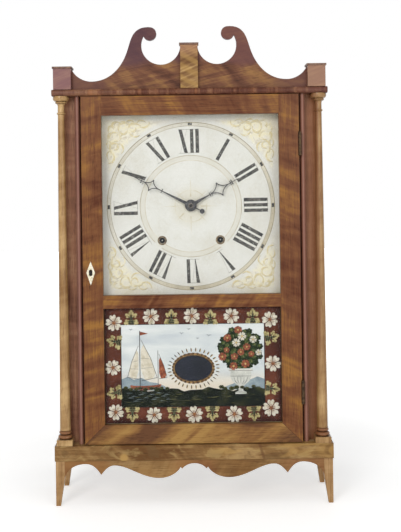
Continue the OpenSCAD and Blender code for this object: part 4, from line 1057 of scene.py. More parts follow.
SAILS = (((-84, 201), (-84, 268), (-58, 206)), ((-88, 204), (-88, 258), (-106, 207)))
JIB = ((-55, 204), (-55, 244), (-42, 206))


def soften(points, times=2):
    """Cuts the corners of a closed outline."""
    for _ in range(times):
        out = []
        for i, (x0, z0) in enumerate(points):
            x1, z1 = points[(i + 1) % len(points)]
            out += [((1 - k) * x0 + k * x1, (1 - k) * z0 + k * z1) for k in (0.25, 0.75)]
        points = out
    return points


def scalloped(x, z, rx, rz, lobes, depth, start=0.0):
    """Oval outline with scallops this deep, as a share of its radii."""
    out = []
    for i in range(lobes * 8):
        a = math.tau * i / (lobes * 8)
        swell = 1 - depth * (1 - abs(math.sin(lobes * a / 2 + start)))
        out.append((x + rx * swell * math.cos(a), z + rz * swell * math.sin(a)))
    return out


def stroke_between(a, b, width):
    """Short brush stroke that is thin at both ends."""
    return ribbon([a, ((a[0] + b[0]) / 2, (a[1] + b[1]) / 2), b], [width * 0.5, width, width * 0.3])


def lobe(tip, *half):
    """A soft lobe along +x, from its tip's place and the points of its lower side."""
    return soften([*half, (tip, 0.0), *((x, -z) for x, z in half[::-1])])


def dark_paint(name, dark, pale, cells, seed):
    """Dark paint through two colours picked on an 8-bit scale. It lies flat behind the glass."""
    return paint(name, [tone(*dark), tone(*pale)], cells, 0.5, seed, shine=DARK_SHINE)


PETAL = lobe(0.80, (0.18, -0.06), (0.40, -0.22), (0.66, -0.43), (0.96, -0.38), (1.05, -0.16))
LEAF_LOBE = lobe(1.08, (0.0, -0.06), (0.34, -0.12), (0.46, -0.36), (0.72, -0.40), (0.80, -0.16), (1.0, -0.22))


class CLOCK_OT_paint_tablet(Operator):
    """Paint the tablet behind its glass: border, flowers, oval window and a generic picture"""

    bl_idname = "clock.paint_tablet"
    bl_label = "Paint the Tablet"

    def execute(self, context):
        t = settings("tablet")
        self.back = high("tablet_glass")[1] + TABLET_LAYER
        rng = random.Random(73)
        left, _, foot = (value / MM for value in low("tablet_glass"))
        right, _, top = (value / MM for value in high("tablet_glass"))
        outer = rect(left + BORDER_INSET, foot + BORDER_INSET, right - BORDER_INSET, top - BORDER_INSET)
        x0, z0, x1, z1 = PICTURE_BOX
        black = dark_paint("tablet dark lines", (22, 22, 24), (44, 40, 40), 60, 2.0)
        self.layer("tablet_border", [[outer, rect(*PICTURE_BOX)]], 9, self.border(t, outer))
        edge = rect(x0 - EDGE_LINE, z0 - EDGE_LINE, x1 + EDGE_LINE, z1 + EDGE_LINE)
        self.layer("tablet_picture_edge", [[edge, rect(*PICTURE_BOX)]], 8, black)
        self.flowers(t, rng)
        self.sprigs(t)
        self.window(t, black)
        self.scenery(t, rng)
        self.boat(t)
        self.bouquet(t, rng)
        return {"FINISHED"}

    def layer(self, name, shapes, step, finish, rise=0.0):
        """Flat shapes, given in mm, at one depth behind the glass."""

        def metres(shape):
            if is_loop(shape):
                return [(x * MM, (z + rise) * MM) for x, z in shape]
            return [metres(loop) for loop in shape]

        painted(name, [metres(shape) for shape in shapes], self.back + step * TABLET_LAYER, TABLET_PAINT,
                "door", "painted_glass", finish)

    def scene(self, name, shapes, step, finish):
        """Flat shapes of the picture."""
        self.layer(name, shapes, step, finish, SCENE_DROP)

    def spread(self, name, shapes, places, step, finish):
        """Copies of a flat motif, given in mm about its middle.

        A place is (x, z, turn from +x to +z, size).
        """
        motif = join_parts([slab([[(x * MM, z * MM) for x, z in s]], 0, TABLET_PAINT) for s in shapes])
        y = self.back + step * TABLET_LAYER
        repeat(name, motif, [(x * MM, y, z * MM, -turn, size) for x, z, turn, size in places],
               "door", finish)

    def border(self, t, outer):
        """Red-brown ground, with painted shade darkening it towards its outer edge."""
        at = Finish("tablet border")
        base = at.ramp(at.noise(50, 1.0, detail=4.0),
                       (0.3, tone(70, 36, 30)), (0.5, t.border), (0.72, tone(122, 66, 46)))
        (_, z0), (x1, z1) = ((x * MM, z * MM) for x, z in outer[::2])
        # painted shade along the border's outer edge
        wide = abs(at.x).span(x1 - 14 * MM, x1 - 1 * MM, 0.6)
        tall = abs(at.z - (z0 + z1) / 2).span((z1 - z0) / 2 - 9 * MM, (z1 - z0) / 2 - 1 * MM, 0.6)
        return at.surface(at.mix(wide.or_more(tall), base, tone(38, 22, 26)), 0.6, 0.1)

    def oval_shade(self):
        """Painted shade: a dark film behind the clear oval, through which the works are faintly seen."""
        at = Finish("tablet oval painted shade")
        base = at.ramp(at.noise(40, 28.0), (0.3, tone(26, 28, 40)), (0.7, tone(44, 48, 64)))
        return at.surface(base, 0.5, 0.2, alpha=0.82)

    def flowers(self, t, rng):
        radius = t.flower / 2 / MM
        places = [(x, z, rng.uniform(0, math.tau), rng.uniform(0.95, 1.06)) for x, z in FLOWERS]
        ways = [math.tau * i / 5 for i in range(5)]
        veins = []
        for a in ways:
            for side in (-0.16, 0.0, 0.16):
                start, end = (
                    (radius * reach * math.cos(a + side * fan), radius * reach * math.sin(a + side * fan))
                    for reach, fan in ((0.24, 1), (0.6, 1.5))
                )
                veins.append(stroke_between(start, end, 0.34))
        white = paint("tablet petals", [tone(172, 160, 130), t.petal, tone(230, 226, 212)], 160, 0.5, 3.0)
        self.spread("tablet_petals", [turned_loop(PETAL, a, size=radius) for a in ways], places, 4, white)
        self.spread("tablet_petal_veins", veins, places, 3,
                    paint("tablet petal veins", [tone(128, 84, 62), tone(176, 140, 104)], 200, 0.5, 4.0))
        heart = scalloped(0, 0, radius * 0.26, radius * 0.26, 10, 0.3)
        self.spread("tablet_flower_hearts", [heart], places, 2,
                    paint("tablet flower hearts", [tone(106, 56, 36), tone(166, 108, 60)], 300, 0.5, 5.0))

    def sprigs(self, t):
        places = [(x, z, math.radians(way - 90), 1.0) for x, z, way in SPRIGS]
        leaf = paint("tablet leaves", [tone(128, 118, 66), t.leaf, tone(200, 190, 134)], 180, 0.5, 6.0)
        teal = dark_paint("tablet leaf stems", (18, 26, 28), (40, 54, 50), 200, 7.0)
        lobes = [turned_loop(LEAF_LOBE, math.radians(way), 0, z, size) for way, z, size in SPRIG_LEAVES]
        stems = [[(0, 7), (1.3, 1), (4.2, -6), (5.4, -10.6), (0, -9.4), (-5.4, -10.6), (-4.2, -6), (-1.3, 1)]]
        for way, start in SPRIG_STEMS:
            end = (7.5 * math.cos(math.radians(way)), 7.5 * math.sin(math.radians(way)) + start)
            stems.append(stroke_between((0, start - 2), end, 0.7))
        dots = [circle((i - row / 2) * 2.5, 1.0 - row * 2.7, 0.62, count=8)
                for row in range(1, 5) for i in range(row + 1)]
        self.spread("tablet_leaves", lobes, places, 5, leaf)
        self.spread("tablet_leaf_stems", stems, places, 3, teal)
        self.spread("tablet_leaf_dots", dots, places, 2, leaf)

    def window(self, t, black):
        """The clear oval with its scalloped ring and its rays."""
        ox, oz = OVAL
        w, h = t.oval_w / MM, t.oval_h / MM
        lobes = t.rays - 4
        clear = circle(ox, oz, w, h, count=72)
        gold = paint("tablet gold", [tone(92, 62, 34), t.gold, tone(176, 142, 84)], 220, 0.4, 8.0)
        pale_gold = paint("tablet pale gold", [tone(168, 134, 82), tone(214, 190, 138)], 220, 0.4, 9.0)
        self.layer("tablet_oval_ring", [[scalloped(ox, oz, w + 5.4, h + 5.4, lobes, 0.035), clear]], 4, gold)
        self.layer("tablet_oval_edge", [[circle(ox, oz, w + 1.0, h + 1.0, count=72), clear]], 3, black)
        turns = [math.tau * (i + 0.5) / lobes for i in range(lobes)]
        lumps = [circle(ox + (w + 3.5) * math.cos(a), oz + (h + 3.5) * math.sin(a), 1.25, count=10)
                 for a in turns]
        ticks, flanks = [], []
        for i in range(t.rays):
            c, s = math.cos(math.tau * i / t.rays), math.sin(math.tau * i / t.rays)
            near = (ox + (w + 7.2) * c, oz + (h + 7.4) * s)
            far = (ox + (w + 12.6) * c, oz + (h + 13.4) * s)
            ticks.append(stroke_between(near, far, 0.75))
            flanks.append(stroke_between((near[0] + 0.9, near[1] - 0.6), (far[0] + 0.9, far[1] - 0.6), 0.7))
        # painted shade behind the clear oval
        self.layer("tablet_oval_wash", [clear], 8, self.oval_shade())
        self.layer("tablet_oval_lumps", lumps, 3, black)
        self.layer("tablet_ray_ticks", ticks, 2, black)
        self.layer("tablet_ray_flanks", flanks, 3, pale_gold)

    def scenery(self, t, rng):
        """Sky, hills, a dark shore with tufts and grass, and birds."""
        ox, oz = OVAL
        x0, z0, x1, _ = PICTURE_BOX
        foot = z0 - SCENE_DROP
        clear = circle(ox, oz, t.oval_w / MM, t.oval_h / MM, count=72)
        self.layer("tablet_sky", [[rect(*PICTURE_BOX), clear]], 7, self.sky(t))
        shore = [(x0, foot), (x1, foot), (x1, 186)]
        for i in range(24):
            x = x1 - 2 - (x1 - x0 - 4) * i / 23
            shore.append((x, 186.5 + 2.2 * math.sin(i * 0.9) + 1.6 * math.sin(i * 2.3)))
        shore.append((x0, 189))
        green = [tone(16, 20, 18), t.ground, tone(56, 58, 38)]
        self.scene("tablet_ground", [shore], 5,
                   paint("tablet ground", green, 46, 0.4, 10.0, shine=DARK_SHINE))
        hills = [[(x0, 185), *FAR_HILL, (x0, 204)], [(44, 185), (x1, 185), (x1, 202), *NEAR_HILL]]
        self.scene("tablet_hills", hills, 6,
                   paint("tablet hills", [tone(118, 136, 146), tone(158, 174, 180)], 60, 0.5, 11.0))
        tufts, tips = [], []
        for i in range(26):
            x = x0 + 5 + i * 8.6 + rng.uniform(-1.5, 1.5)
            if abs(x - ox) < 34:
                continue
            z = 188 + rng.uniform(-1.5, 2)
            size = rng.uniform(3.6, 5.6)
            tufts.append(scalloped(x, z, size, size * 0.72, 6, 0.22, rng.uniform(0, 3)))
            for way in range(40, 140, 33):
                c, s = math.cos(math.radians(way)) * size, math.sin(math.radians(way)) * size
                tips.append(stroke_between((x + 0.55 * c, z + 0.4 * s), (x + 0.95 * c, z + 0.66 * s), 0.5))
        self.scene("tablet_tufts", tufts, 4,
                   dark_paint("tablet hedge", (34, 38, 24), (64, 68, 36), 200, 12.0))
        for i in range(26):
            x, z = rng.uniform(x0 + 6, x1 - 6), rng.uniform(163, 182)
            reach = rng.uniform(4, 12)
            if abs(x + reach) < 110:
                tips.append(stroke_between((x, z), (x + reach, z + rng.uniform(-0.5, 0.5)), 0.34))
        self.scene("tablet_grass_tips", tips, 3,
                   paint("tablet olive", [tone(66, 70, 34), tone(122, 118, 62)], 200, 0.5, 13.0))
        wing = ((-1, 0.5), (-0.4, 0.55), (0, 0), (0.4, 0.55), (1, 0.4))
        birds = [ribbon([(x + a * size, z + b * size) for a, b in wing], [0.1, 0.45, 0.6, 0.45, 0.1])
                 for x, z, size in BIRDS]
        self.scene("tablet_birds", birds, 5,
                   paint("tablet birds", [tone(70, 82, 96), tone(120, 132, 142)], 200, 0.5, 14.0))

    def sky(self, t):
        """Pale sky, warmer towards the horizon, with grey brushed clouds."""
        at = Finish("tablet sky")
        clouds = at.noise((16, 16, 60), 3.0, detail=4.0, distortion=0.4)
        base = at.ramp(clouds, (0.3, tone(204, 212, 216)), (0.5, t.sky), (0.7, tone(238, 241, 240)))
        base = at.mix(at.z.span(0.218, 0.184, 0.75), base, tone(232, 216, 190))
        return at.surface(base, 0.5, height=clouds, depth=0.0001, strength=0.1)

    def boat(self, t):
        """A small two-masted boat at the left."""
        hull = soften([(-104, 195), (-97, 186), (-58, 186), (-49, 196.5), (-60, 193.5), (-92, 192.5)])
        flag = [(-86, 274), (-86, 281), (-72, 277.5)]

        def bow(sail, belly):
            a, b, c = sail
            return ((b[0] + c[0]) / 2 + (c[0] - a[0]) * belly, (b[1] + c[1]) / 2)

        bowed = [soften([s[0], s[1], bow(s, 0.14), s[2]], 1) for s in (*SAILS, JIB)]
        self.scene("tablet_boat_hull", [hull, bowed[2], flag], 4,
                   paint("tablet russet", [tone(104, 46, 30), t.russet, tone(178, 104, 66)], 200, 0.5, 15.0))
        self.scene("tablet_boat_sails", bowed[:2], 4,
                   paint("tablet sails", [tone(206, 196, 170), tone(238, 232, 216)], 120, 0.5, 16.0))
        lines = [rect(-86.4, 190, -85.2, 282), rect(-57, 190, -56.2, 250)]
        for a, b, c in (*SAILS, JIB):
            lines += [ribbon([b, bow((a, b, c), 0.11), c], [0.3, 0.35, 0.3]), ribbon([a, c], 0.35)]
            for k in (0.3, 0.55):
                left = (a[0] + (b[0] - a[0]) * k, a[1] + (b[1] - a[1]) * k)
                right = (c[0] + (b[0] - c[0]) * k * 0.9, c[1] + (b[1] - c[1]) * k * 0.9)
                lines.append(ribbon([left, right], 0.18))
        lines.append(ribbon([(-100, 190.5), (-76, 189.4), (-54, 191)], [0.3, 0.4, 0.3]))
        lines += [circle(x, 190.9, 0.7, count=8) for x in (-92, -84, -76, -68)]
        self.scene("tablet_boat_lines", lines, 3,
                   paint("tablet rigging", [tone(38, 34, 34), tone(66, 58, 52)], 120, 0.5, 17.0))
        waves = []
        for i in range(17):
            x, z = -108 + (i * 37) % 66, 181 - (i % 6) * 2.6
            waves.append(ribbon([(x, z), (x + 4, z + 0.7), (x + 9, z)], [0.1, 0.4, 0.1]))
        self.scene("tablet_water_lights", waves, 3,
                   paint("tablet water lights", [tone(92, 110, 118), tone(150, 164, 166)], 200, 0.4, 18.0))

    def bouquet(self, t, rng):
        """A pale urn with leaves and blossoms at the right."""
        x = URN_X
        self.scene("tablet_urn", [mirrored(HALF_URN, x)], 4,
                   paint("tablet urn", [tone(190, 192, 184), tone(226, 226, 216)], 90, 0.5, 19.0))
        bands = [rect(x - half, z, x + half, z + 0.8) for half, z in ((19.4, 215.4), (17, 206.4), (9, 180.6))]
        bands += [ribbon([(x + k * 0.35, 193.4), (x + k * 0.85, 199), (x + k, 205.6)], [0.2, 0.5, 0.3])
                  for k in (-11, -5.5, 0, 5.5, 11)]
        self.scene("tablet_urn_shades", bands, 3,
                   paint("tablet urn shade", [tone(112, 112, 106), tone(150, 148, 138)], 90, 0.5, 20.0))
        dark = dark_paint("tablet leaf dark", (24, 34, 24), (44, 56, 34), 200, 21.0)
        green = dark_paint("tablet leaf green", (46, 64, 36), (84, 98, 52), 200, 22.0)
        spots = []
        for i in range(LEAF_SPOTS):
            r, a = math.sqrt((i + 0.5) / LEAF_SPOTS), i * SPIRAL_TURN
            spots.append((x + BOUQUET_REACH[0] * r * math.cos(a) + rng.uniform(-1.5, 1.5),
                          BOUQUET_Z + BOUQUET_REACH[1] * r * math.sin(a) + rng.uniform(-1.5, 1.5)))
        for name, every, radius, shift, step, finish in (
            ("tablet_bouquet_dark", 1, 6.4, 0, 6, dark), ("tablet_bouquet_green", 2, 3.6, -1.2, 5, green),
        ):
            blobs = []
            for i, (bx, bz) in enumerate(spots):
                size = radius * rng.uniform(0.85, 1.15)
                if i % every == 0:
                    blobs.append(scalloped(bx + shift, bz - shift, size, size * 0.9, 6, 0.25,
                                           rng.uniform(0, 3)))
            self.scene(name, blobs, step, finish)
        dabs = []
        for bx, bz in spots[::2]:
            a = rng.uniform(0.6, 2.6)
            dabs.append(stroke_between((bx, bz), (bx + 3 * math.cos(a), bz + 3 * math.sin(a)), 0.6))
        self.scene("tablet_bouquet_lights", dabs, 4,
                   paint("tablet leaf lights", [tone(104, 112, 56), tone(150, 148, 84)], 200, 0.5, 23.0))
        blossom = [turned_loop(PETAL, math.tau * i / 5, size=5.6) for i in range(5)]
        reds, whites = [], []
        for i, (bx, bz) in enumerate(spots[2::6]):
            spot = (bx, bz + SCENE_DROP, rng.uniform(0, 6), rng.uniform(0.8, 1.25))
            (whites if i % 3 == 2 else reds).append(spot)
        red = paint("tablet blossoms", [tone(124, 52, 32), t.russet, tone(186, 104, 72)], 300, 0.5, 24.0)
        self.spread("tablet_red_blossoms", blossom, reds, 3, red)
        white = paint("tablet white blossoms", [tone(196, 190, 170), tone(232, 228, 214)], 300, 0.5, 25.0)
        self.spread("tablet_white_blossoms", blossom, whites, 3, white)
        self.spread("tablet_blossom_hearts", [circle(0, 0, 1.3, count=10)], reds + whites, 2,
                    paint("tablet blossom hearts", [tone(196, 164, 92), tone(222, 196, 126)], 300, 0.5, 26.0))


# ---- Works, weights and small things ----


METALS = (  # name, dark, pale, roughness, metallic, seed, cells, relief, nodes
    ("blackened steel hands", (50, 50, 53), (88, 87, 89), 0.5, 0.1, 1.0, 300, 0.1,
     ("hour_hand", "minute_hand")),
    ("aged brass", (96, 74, 36), (168, 138, 76), 0.42, 0.9, 2.0, 90, 0.1,
     ("bell", "pendulum_bob", "escape_wheel", "lock_case", "lock_bolt")),
    ("dark hinge brass", (44, 32, 22), (88, 66, 40), 0.6, 0.6, 3.0, 200, 0.1,
     ("hinge_case_leaves", "hinge_door_leaves")),
    ("rough cast iron", (34, 32, 31), (70, 64, 58), 0.75, 0.4, 4.0, 120, 0.6,
     ("left_weight", "right_weight")),
    ("dull iron wire", (60, 56, 52), (112, 106, 98), 0.5, 0.8, 5.0, 200, 0.1,
     ("hammer", "verge", "pendulum_rod")),
)
CHERRY_NODES = (
    "movement_posts", "going_great_wheel", "going_barrel", "second_wheel", "third_wheel", "centre_wheel",
    "minute_wheel", "hour_wheel", "strike_great_wheel", "strike_barrel", "pin_wheel", "fly", "left_pulley",
    "right_pulley",
)
# the arbor cap is wide and near black, so that it fills its winding hole as painted shade
ARBOR_CAP = ((4.3, -2.0), (4.3, 0.2), (3.6, 0.45))  # profiles of (radius, height towards the front), in mm
ARBOR_TIP = ((1.0, 0.4), (1.0, 0.62), (0.6, 0.8))
COLLET = ((3.6, -0.02), (4.2, 0.4), (3.8, 0.8), (2.7, 1.0))
HAND_CAP = ((2.62, -1.2), (2.62, 0.1), (1.8, 0.3))
NAIL_HEAD = ((2.1, 0.4), (2.1, -0.25), (1.3, -0.6))
NAIL_DEPTH = 0.6 * MM  # a nail's middle lies this much inside the back board
NAIL_ROWS = 5
NAIL_COLUMNS = (-0.072, -0.064, 0.064, 0.072)  # beside the joints between the boards
NAIL_INSET, NAIL_END = 0.007, 0.02  # from the back board's sides, and from its ends
HAND_BARS = (  # hand, body, way of its tip along x, radii of its bars in mm
    ("minute_hand", "minute_arbor", -1, (53, 90)), ("hour_hand", "hour_pipe", 1, (39, 77)),
)
BAR_SINK = 0.05 * MM  # a bar's face lies this much inside the hand's
BAR_SIZES = ((2.9 * MM, 0.5 * MM), (3.5 * MM, 0.7 * MM))  # half length and half width, inner bar first


class CLOCK_OT_finish_works(Operator):
    """Finish the hands, the wheels, the metals and the weights"""

    bl_idname = "clock.finish_works"
    bl_label = "Finish the Works"

    def execute(self, context):
        for name, dark, pale, *rest, nodes in METALS:
            dress(metal(name, tone(*dark), tone(*pale), *rest), *nodes)
        dress(plain_wood("bare cherry works", tone(112, 62, 32), tone(168, 108, 62), "Y", 6.0, 90),
              *CHERRY_NODES)
        dress(plain_wood("quartered oak plates", tone(120, 88, 52), tone(170, 134, 86), "Z", 7.0, 120),
              "front_plate", "back_plate")
        bone = [tone(206, 194, 160), tone(236, 228, 204), tone(246, 242, 226)]
        dress(paint("old bone", bone, 300, 0.4, 8.0), "escutcheon")
        dress(paint("hard putty", [tone(128, 112, 82), tone(168, 152, 118)], 200, 0.7, 9.0), "glazing_strips")
        self.arbor_ends()
        self.hand_bars()
        self.keyhole()
        self.nails()
        return {"FINISHED"}

    def turned(self, name, profile, centre, body, slot, finish, count):
        """Closed solid of revolution about an axis along y."""
        mesh_piece(name, *loft(turned_rings(profile, centre, count)), body, slot, finish)

    def arbor_ends(self):
        """Iron ends of the winding arbors, widened into near-black caps as painted shade in the winding
        holes, each with a pale dot as a painted highlight, and the pin and collet that hold the minute hand.
        """
        # painted shade: near-black iron for the caps in the winding holes, also used on the minute arbor's
        # end
        iron = metal("arbor iron and hole shade", tone(12, 11, 12), tone(30, 28, 28), 0.7, 0.0, 10.0, 300)
        # painted highlight: a pale dot on each winding arbor's end
        glint = metal("painted glint on arbor tip", tone(120, 118, 116), tone(196, 192, 186), 0.4, 0.3, 11.0, 300)
        dark_brass = metal("dark collet brass", tone(84, 78, 74), tone(142, 134, 126), 0.45, 0.4, 12.0, 300)
        for side in ("going", "strike"):
            barrel = f"{side}_barrel"
            x, _, z = middle(barrel)
            front = (x, low(barrel)[1], z)
            self.turned(f"{side}_arbor_cap", ARBOR_CAP, front, barrel, "iron_wire", iron, 24)
            self.turned(f"{side}_arbor_tip", ARBOR_TIP, front, barrel, "iron_wire", glint, 16)
        hand, arbor = ((0, low(name)[1], hand_axis()) for name in ("minute_hand", "centre_wheel"))
        self.turned("hand_collet", COLLET, hand, "minute_arbor", "brass", dark_brass, 32)
        self.turned("minute_arbor_cap", HAND_CAP, arbor, "minute_arbor", "iron_wire", iron, 24)

    def hand_bars(self):
        """Short cross bars on both sides of each hand's diamond."""
        steel = metal("blackened hand bars", tone(30, 30, 33), tone(54, 54, 56), 0.6, 0.0, 15.0, 300)
        centre_z = hand_axis()
        for hand, body, side, radii in HAND_BARS:
            front, back = low(hand)[1], high(hand)[1]
            tip = (low(hand)[0] if side < 0 else high(hand)[0], high(hand)[2] - centre_z)
            u, w = (part / math.hypot(*tip) for part in tip)
            bars = []
            for r, (reach, half) in zip(radii, BAR_SIZES):
                x, z = u * r * MM, centre_z + w * r * MM
                ends = [(x - w * reach * k, z + u * reach * k) for k in (1, -1)]
                bars += [ribbon(ends, half), *(circle(*end, half * 1.4, count=10) for end in ends)]
            painted(f"{hand}_bars", bars, front + BAR_SINK, back - front - 2 * BAR_SINK, body, "blued_steel",
                    steel)

    def keyhole(self):
        """Painted shade: a dark sheet seen through the keyhole."""
        x, _, z = middle("escutcheon")
        dark = paint("keyhole painted shade", [tone(12, 10, 10), tone(30, 24, 22)], 100, 0.7, 13.0)
        shapes = [circle(x, z + 1.6 * MM, 2.7 * MM, count=20),
                  rect(x - 1.5 * MM, z - 5 * MM, x + 1.5 * MM, z + 1.2 * MM)]
        # painted shade behind the keyhole
        painted("keyhole_lining", shapes, high("escutcheon")[1] - 0.06 * MM, 0.05 * MM, "door", "bone", dark)

    def nails(self):
        """Nail heads in columns along the edges and joints of the back board."""
        iron = metal("nail iron", tone(40, 36, 33), tone(82, 74, 66), 0.6, 0.6, 14.0, 300)
        lower, upper = low("back_board"), high("back_board")
        rng = random.Random(5)
        places = []
        for x in (lower[0] + NAIL_INSET, *NAIL_COLUMNS, upper[0] - NAIL_INSET):
            for i in range(NAIL_ROWS):
                z = lower[2] + NAIL_END + (upper[2] - lower[2] - 2 * NAIL_END) * i / (NAIL_ROWS - 1)
                places.append((x + rng.uniform(-1, 1) * MM, upper[1] - NAIL_DEPTH,
                               z + rng.uniform(-4, 4) * MM, 0.0, 1.0))
        verts, faces = loft(turned_rings(NAIL_HEAD, (0, 0, 0), 10))
        repeat("back_board_nails", (verts, [f[::-1] for f in faces]), places, "case", iron)


TWISTS = 30
CORD_ROWS = 120
STRAND_SIDES = 6
STRAND_REACH, STRAND_RADIUS = 0.42 * MM, 0.46 * MM


class CLOCK_OT_hang_cords(Operator):
    """Dress the cord runs in linen and put twisted cords in place of the cord falls"""

    bl_idname = "clock.hang_cords"
    bl_label = "Hang the Cords"

    def execute(self, context):
        finish = self.linen()
        dress(finish, "cord_runs")
        for side in ("left", "right"):
            fall = f"{side}_cord_fall"
            x, y, _ = middle(fall)
            bottom, top = low(fall)[2], high(fall)[2]
            rise = joint(f"{side}_weight_rise")["range_m"][1]
            left = 1 - rise / (top - bottom)
            strands = join_parts([loft(self.strand(x, y, bottom, top, a)) for a in (0, math.pi)])
            obj = mesh_piece(f"{side}_twisted_cord", *strands, "case", "cord", finish, smooth=True)
            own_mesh(obj)
            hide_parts(fall)
        return {"FINISHED"}

    def strand(self, x, y, bottom, top, start):
        """Rings of one of the strands that wind about each other."""
        rings = []
        for row in range(CORD_ROWS + 1):
            t = row / CORD_ROWS
            a = start + math.tau * TWISTS * t
            cx, cy = x + STRAND_REACH * math.cos(a), y + STRAND_REACH * math.sin(a)
            turns = [math.tau * i / STRAND_SIDES for i in range(STRAND_SIDES)]
            rings.append([(cx + STRAND_RADIUS * math.cos(b), cy + STRAND_RADIUS * math.sin(b),
                           bottom + (top - bottom) * t) for b in turns])
        return rings

    def linen(self):
        """Linen cord: slanting bands that follow the length."""
        at = Finish("linen cord")
        waves = {"Vector": at.place, "Scale": 420.0, "Distortion": 1.5}
        bands = at.node("TexWave", waves, wave_type="BANDS", bands_direction="DIAGONAL").outputs["Fac"]
        base = at.ramp(bands, (0.2, tone(150, 132, 96)), (0.8, tone(206, 192, 156)))
        return at.surface(base, 0.85, 0.2, height=bands, depth=0.0003, strength=0.5)


# ---- Stage ----


CAMERA_PLACE = (-0.003, -1.659, 0.516)
CAMERA_YAW = math.radians(0.12)
CAMERA_PITCH = math.radians(-0.20)
CAMERA_ROLL = math.radians(-0.77)
CAMERA_LENS = 67.67
CAMERA_SHIFT = (0.026, -0.15)
PICTURE = (401, 532)
WHITE = (1.0, 1.0, 1.0)
FLOOR_HALF = 6.0  # half the floor's side, in metres
LAMP_TARGET = (0, 0, 0.4)


def camera_matrix():
    """Place and turn of the camera, as fitted to the photo."""
    level = math.cos(CAMERA_PITCH)
    ahead = Vector((-math.sin(CAMERA_YAW) * level, math.cos(CAMERA_YAW) * level, math.sin(CAMERA_PITCH)))
    right = Vector((math.cos(CAMERA_YAW), math.sin(CAMERA_YAW), 0))
    up = right.cross(ahead)
    c, s = math.cos(CAMERA_ROLL), math.sin(CAMERA_ROLL)
    right, up = right * c + up * s, up * c - right * s
    matrix = Matrix.Identity(4)
    for i, axis in enumerate((right, up, -ahead, Vector(CAMERA_PLACE))):
        for row in range(3):
            matrix[row][i] = axis[row]
    return matrix


def seen_rays(at):
    """One for rays from the camera, in reflections and through glass, and nought for rays of light."""
    path = at.node("LightPath").outputs
    kinds = ("Camera", "Glossy", "Transmission")
    camera, glossy, passed = (Value(at, path[f"Is {kind} Ray"]) for kind in kinds)
    return camera.or_more(glossy).or_more(passed)


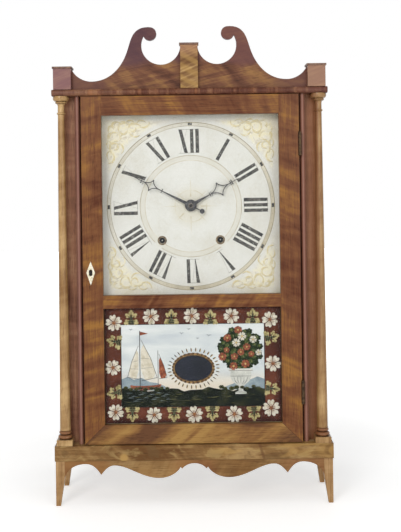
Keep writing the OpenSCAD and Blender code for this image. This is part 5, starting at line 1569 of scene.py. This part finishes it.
class CLOCK_OT_set_stage(Operator):
    """Set the camera, the lamps, the floor and the white room"""

    bl_idname = "clock.set_stage"
    bl_label = "Set the Stage"

    def execute(self, context):
        s = settings("stage")
        scene = context.scene
        self.camera(scene)
        self.room(scene, s)
        half = FLOOR_HALF
        floor = mesh_piece("floor", [(-half, -half, 0), (half, -half, 0), (half, half, 0), (-half, half, 0)],
                           [(0, 1, 2, 3)], None, None, self.floor(s))
        self.lamp("key lamp", (-0.95, -2.6, 1.4), 1.2, s.key, (1.0, 0.985, 0.96))
        self.lamp("fill lamp", (1.0, -2.6, 0.85), 1.6, s.fill, (0.97, 0.985, 1.0))
        return {"FINISHED"}

    def camera(self, scene):
        data = bpy.data.cameras.new("camera")
        data.lens, data.sensor_width = CAMERA_LENS, 36
        data.shift_x, data.shift_y = CAMERA_SHIFT
        data.clip_start, data.clip_end = 0.05, 50
        scene.camera = new_object("camera", data)
        scene.camera.matrix_world = camera_matrix()
        scene.render.resolution_x, scene.render.resolution_y = PICTURE
        scene.render.resolution_percentage = 100
        scene.view_settings.view_transform = "Standard"

    def room(self, scene, s):
        """Even light, and pure white wherever the room itself is seen."""
        scene.world = scene.world or bpy.data.worlds.new("room")
        at = Finish("room", scene.world)
        light = at.node("Background", {"Color": (1.0, 0.99, 0.975), "Strength": s.sky_light}).outputs[0]
        white = at.node("Background", {"Color": WHITE, "Strength": 1.0}).outputs[0]
        both = at.node("MixShader", {0: seen_rays(at), 1: light, 2: white}).outputs["Shader"]
        at.node("OutputWorld", {"Surface": both})

    def floor(self, s):
        """White floor that fades into the room and keeps the clock's shadow, with a painted shadow under the
        case.
        """
        at = Finish("floor")
        shade = at.ramp(at.noise(3, detail=1.0), (0.0, [c * 0.99 for c in s.floor]), (1.0, s.floor))
        fade = at.distance((0, 0, 0)).span(0.35, 1.4).times_plus(1.0 - s.floor_glow, s.floor_glow)
        # painted shadow: less glow in an oval under the case
        narrowed = at.node("VectorMath", {0: at.place, 1: (0.45, 1, 1)}, operation="MULTIPLY").outputs[0]
        under = at.distance((0, 0.08, 0), narrowed).span(0.19, 0.08, 0.09)
        glow = seen_rays(at) * (fade - under)
        return at.surface(shade, 0.6, 0.2, emission_color=WHITE, emission_strength=glow)

    def lamp(self, name, place, size, power, tint):
        data = bpy.data.lights.new(name, "AREA")
        data.shape, data.size, data.energy, data.color = "DISK", size, power, tint
        obj = new_object(name, data)
        obj.location = place
        obj.rotation_euler = (Vector(LAMP_TARGET) - Vector(place)).to_track_quat("-Z", "Y").to_euler()


# ---- Panel ----


OPERATORS = (
    CLOCK_OT_veneer_case,
    CLOCK_OT_paint_dial,
    CLOCK_OT_paint_tablet,
    CLOCK_OT_finish_works,
    CLOCK_OT_hang_cords,
    CLOCK_OT_set_stage,
)
SETTINGS = (
    (ClockWoodSettings, "clock_wood", "Woods"),
    (ClockDialSettings, "clock_dial", "Dial"),
    (ClockTabletSettings, "clock_tablet", "Tablet"),
    (ClockStageSettings, "clock_stage", "Stage"),
)


class CLOCK_PT_panel(Panel):
    """Settings and steps of the clock"""

    bl_label = "Pillar and Scroll Clock"
    bl_idname = "CLOCK_PT_panel"
    bl_space_type = "VIEW_3D"
    bl_region_type = "UI"
    bl_category = "Clock"

    def draw(self, context):
        for kind, key, label in SETTINGS:
            box = self.layout.box()
            box.label(text=label)
            for name in kind.__annotations__:
                box.prop(getattr(context.scene, key), name)
        for operator in OPERATORS:
            self.layout.operator(operator.bl_idname)


def register():
    for kind, key, _ in SETTINGS:
        bpy.utils.register_class(kind)
        setattr(bpy.types.Scene, key, PointerProperty(type=kind))
    for kind in (*OPERATORS, CLOCK_PT_panel):
        bpy.utils.register_class(kind)


def unregister():
    for kind in reversed((*OPERATORS, CLOCK_PT_panel)):
        bpy.utils.unregister_class(kind)
    for kind, key, _ in reversed(SETTINGS):
        delattr(bpy.types.Scene, key)
        bpy.utils.unregister_class(kind)


def main():
    register()
    for operator in OPERATORS:
        group, step = operator.bl_idname.split(".")
        getattr(getattr(bpy.ops, group), step)()


if __name__ == "__main__":
    main()
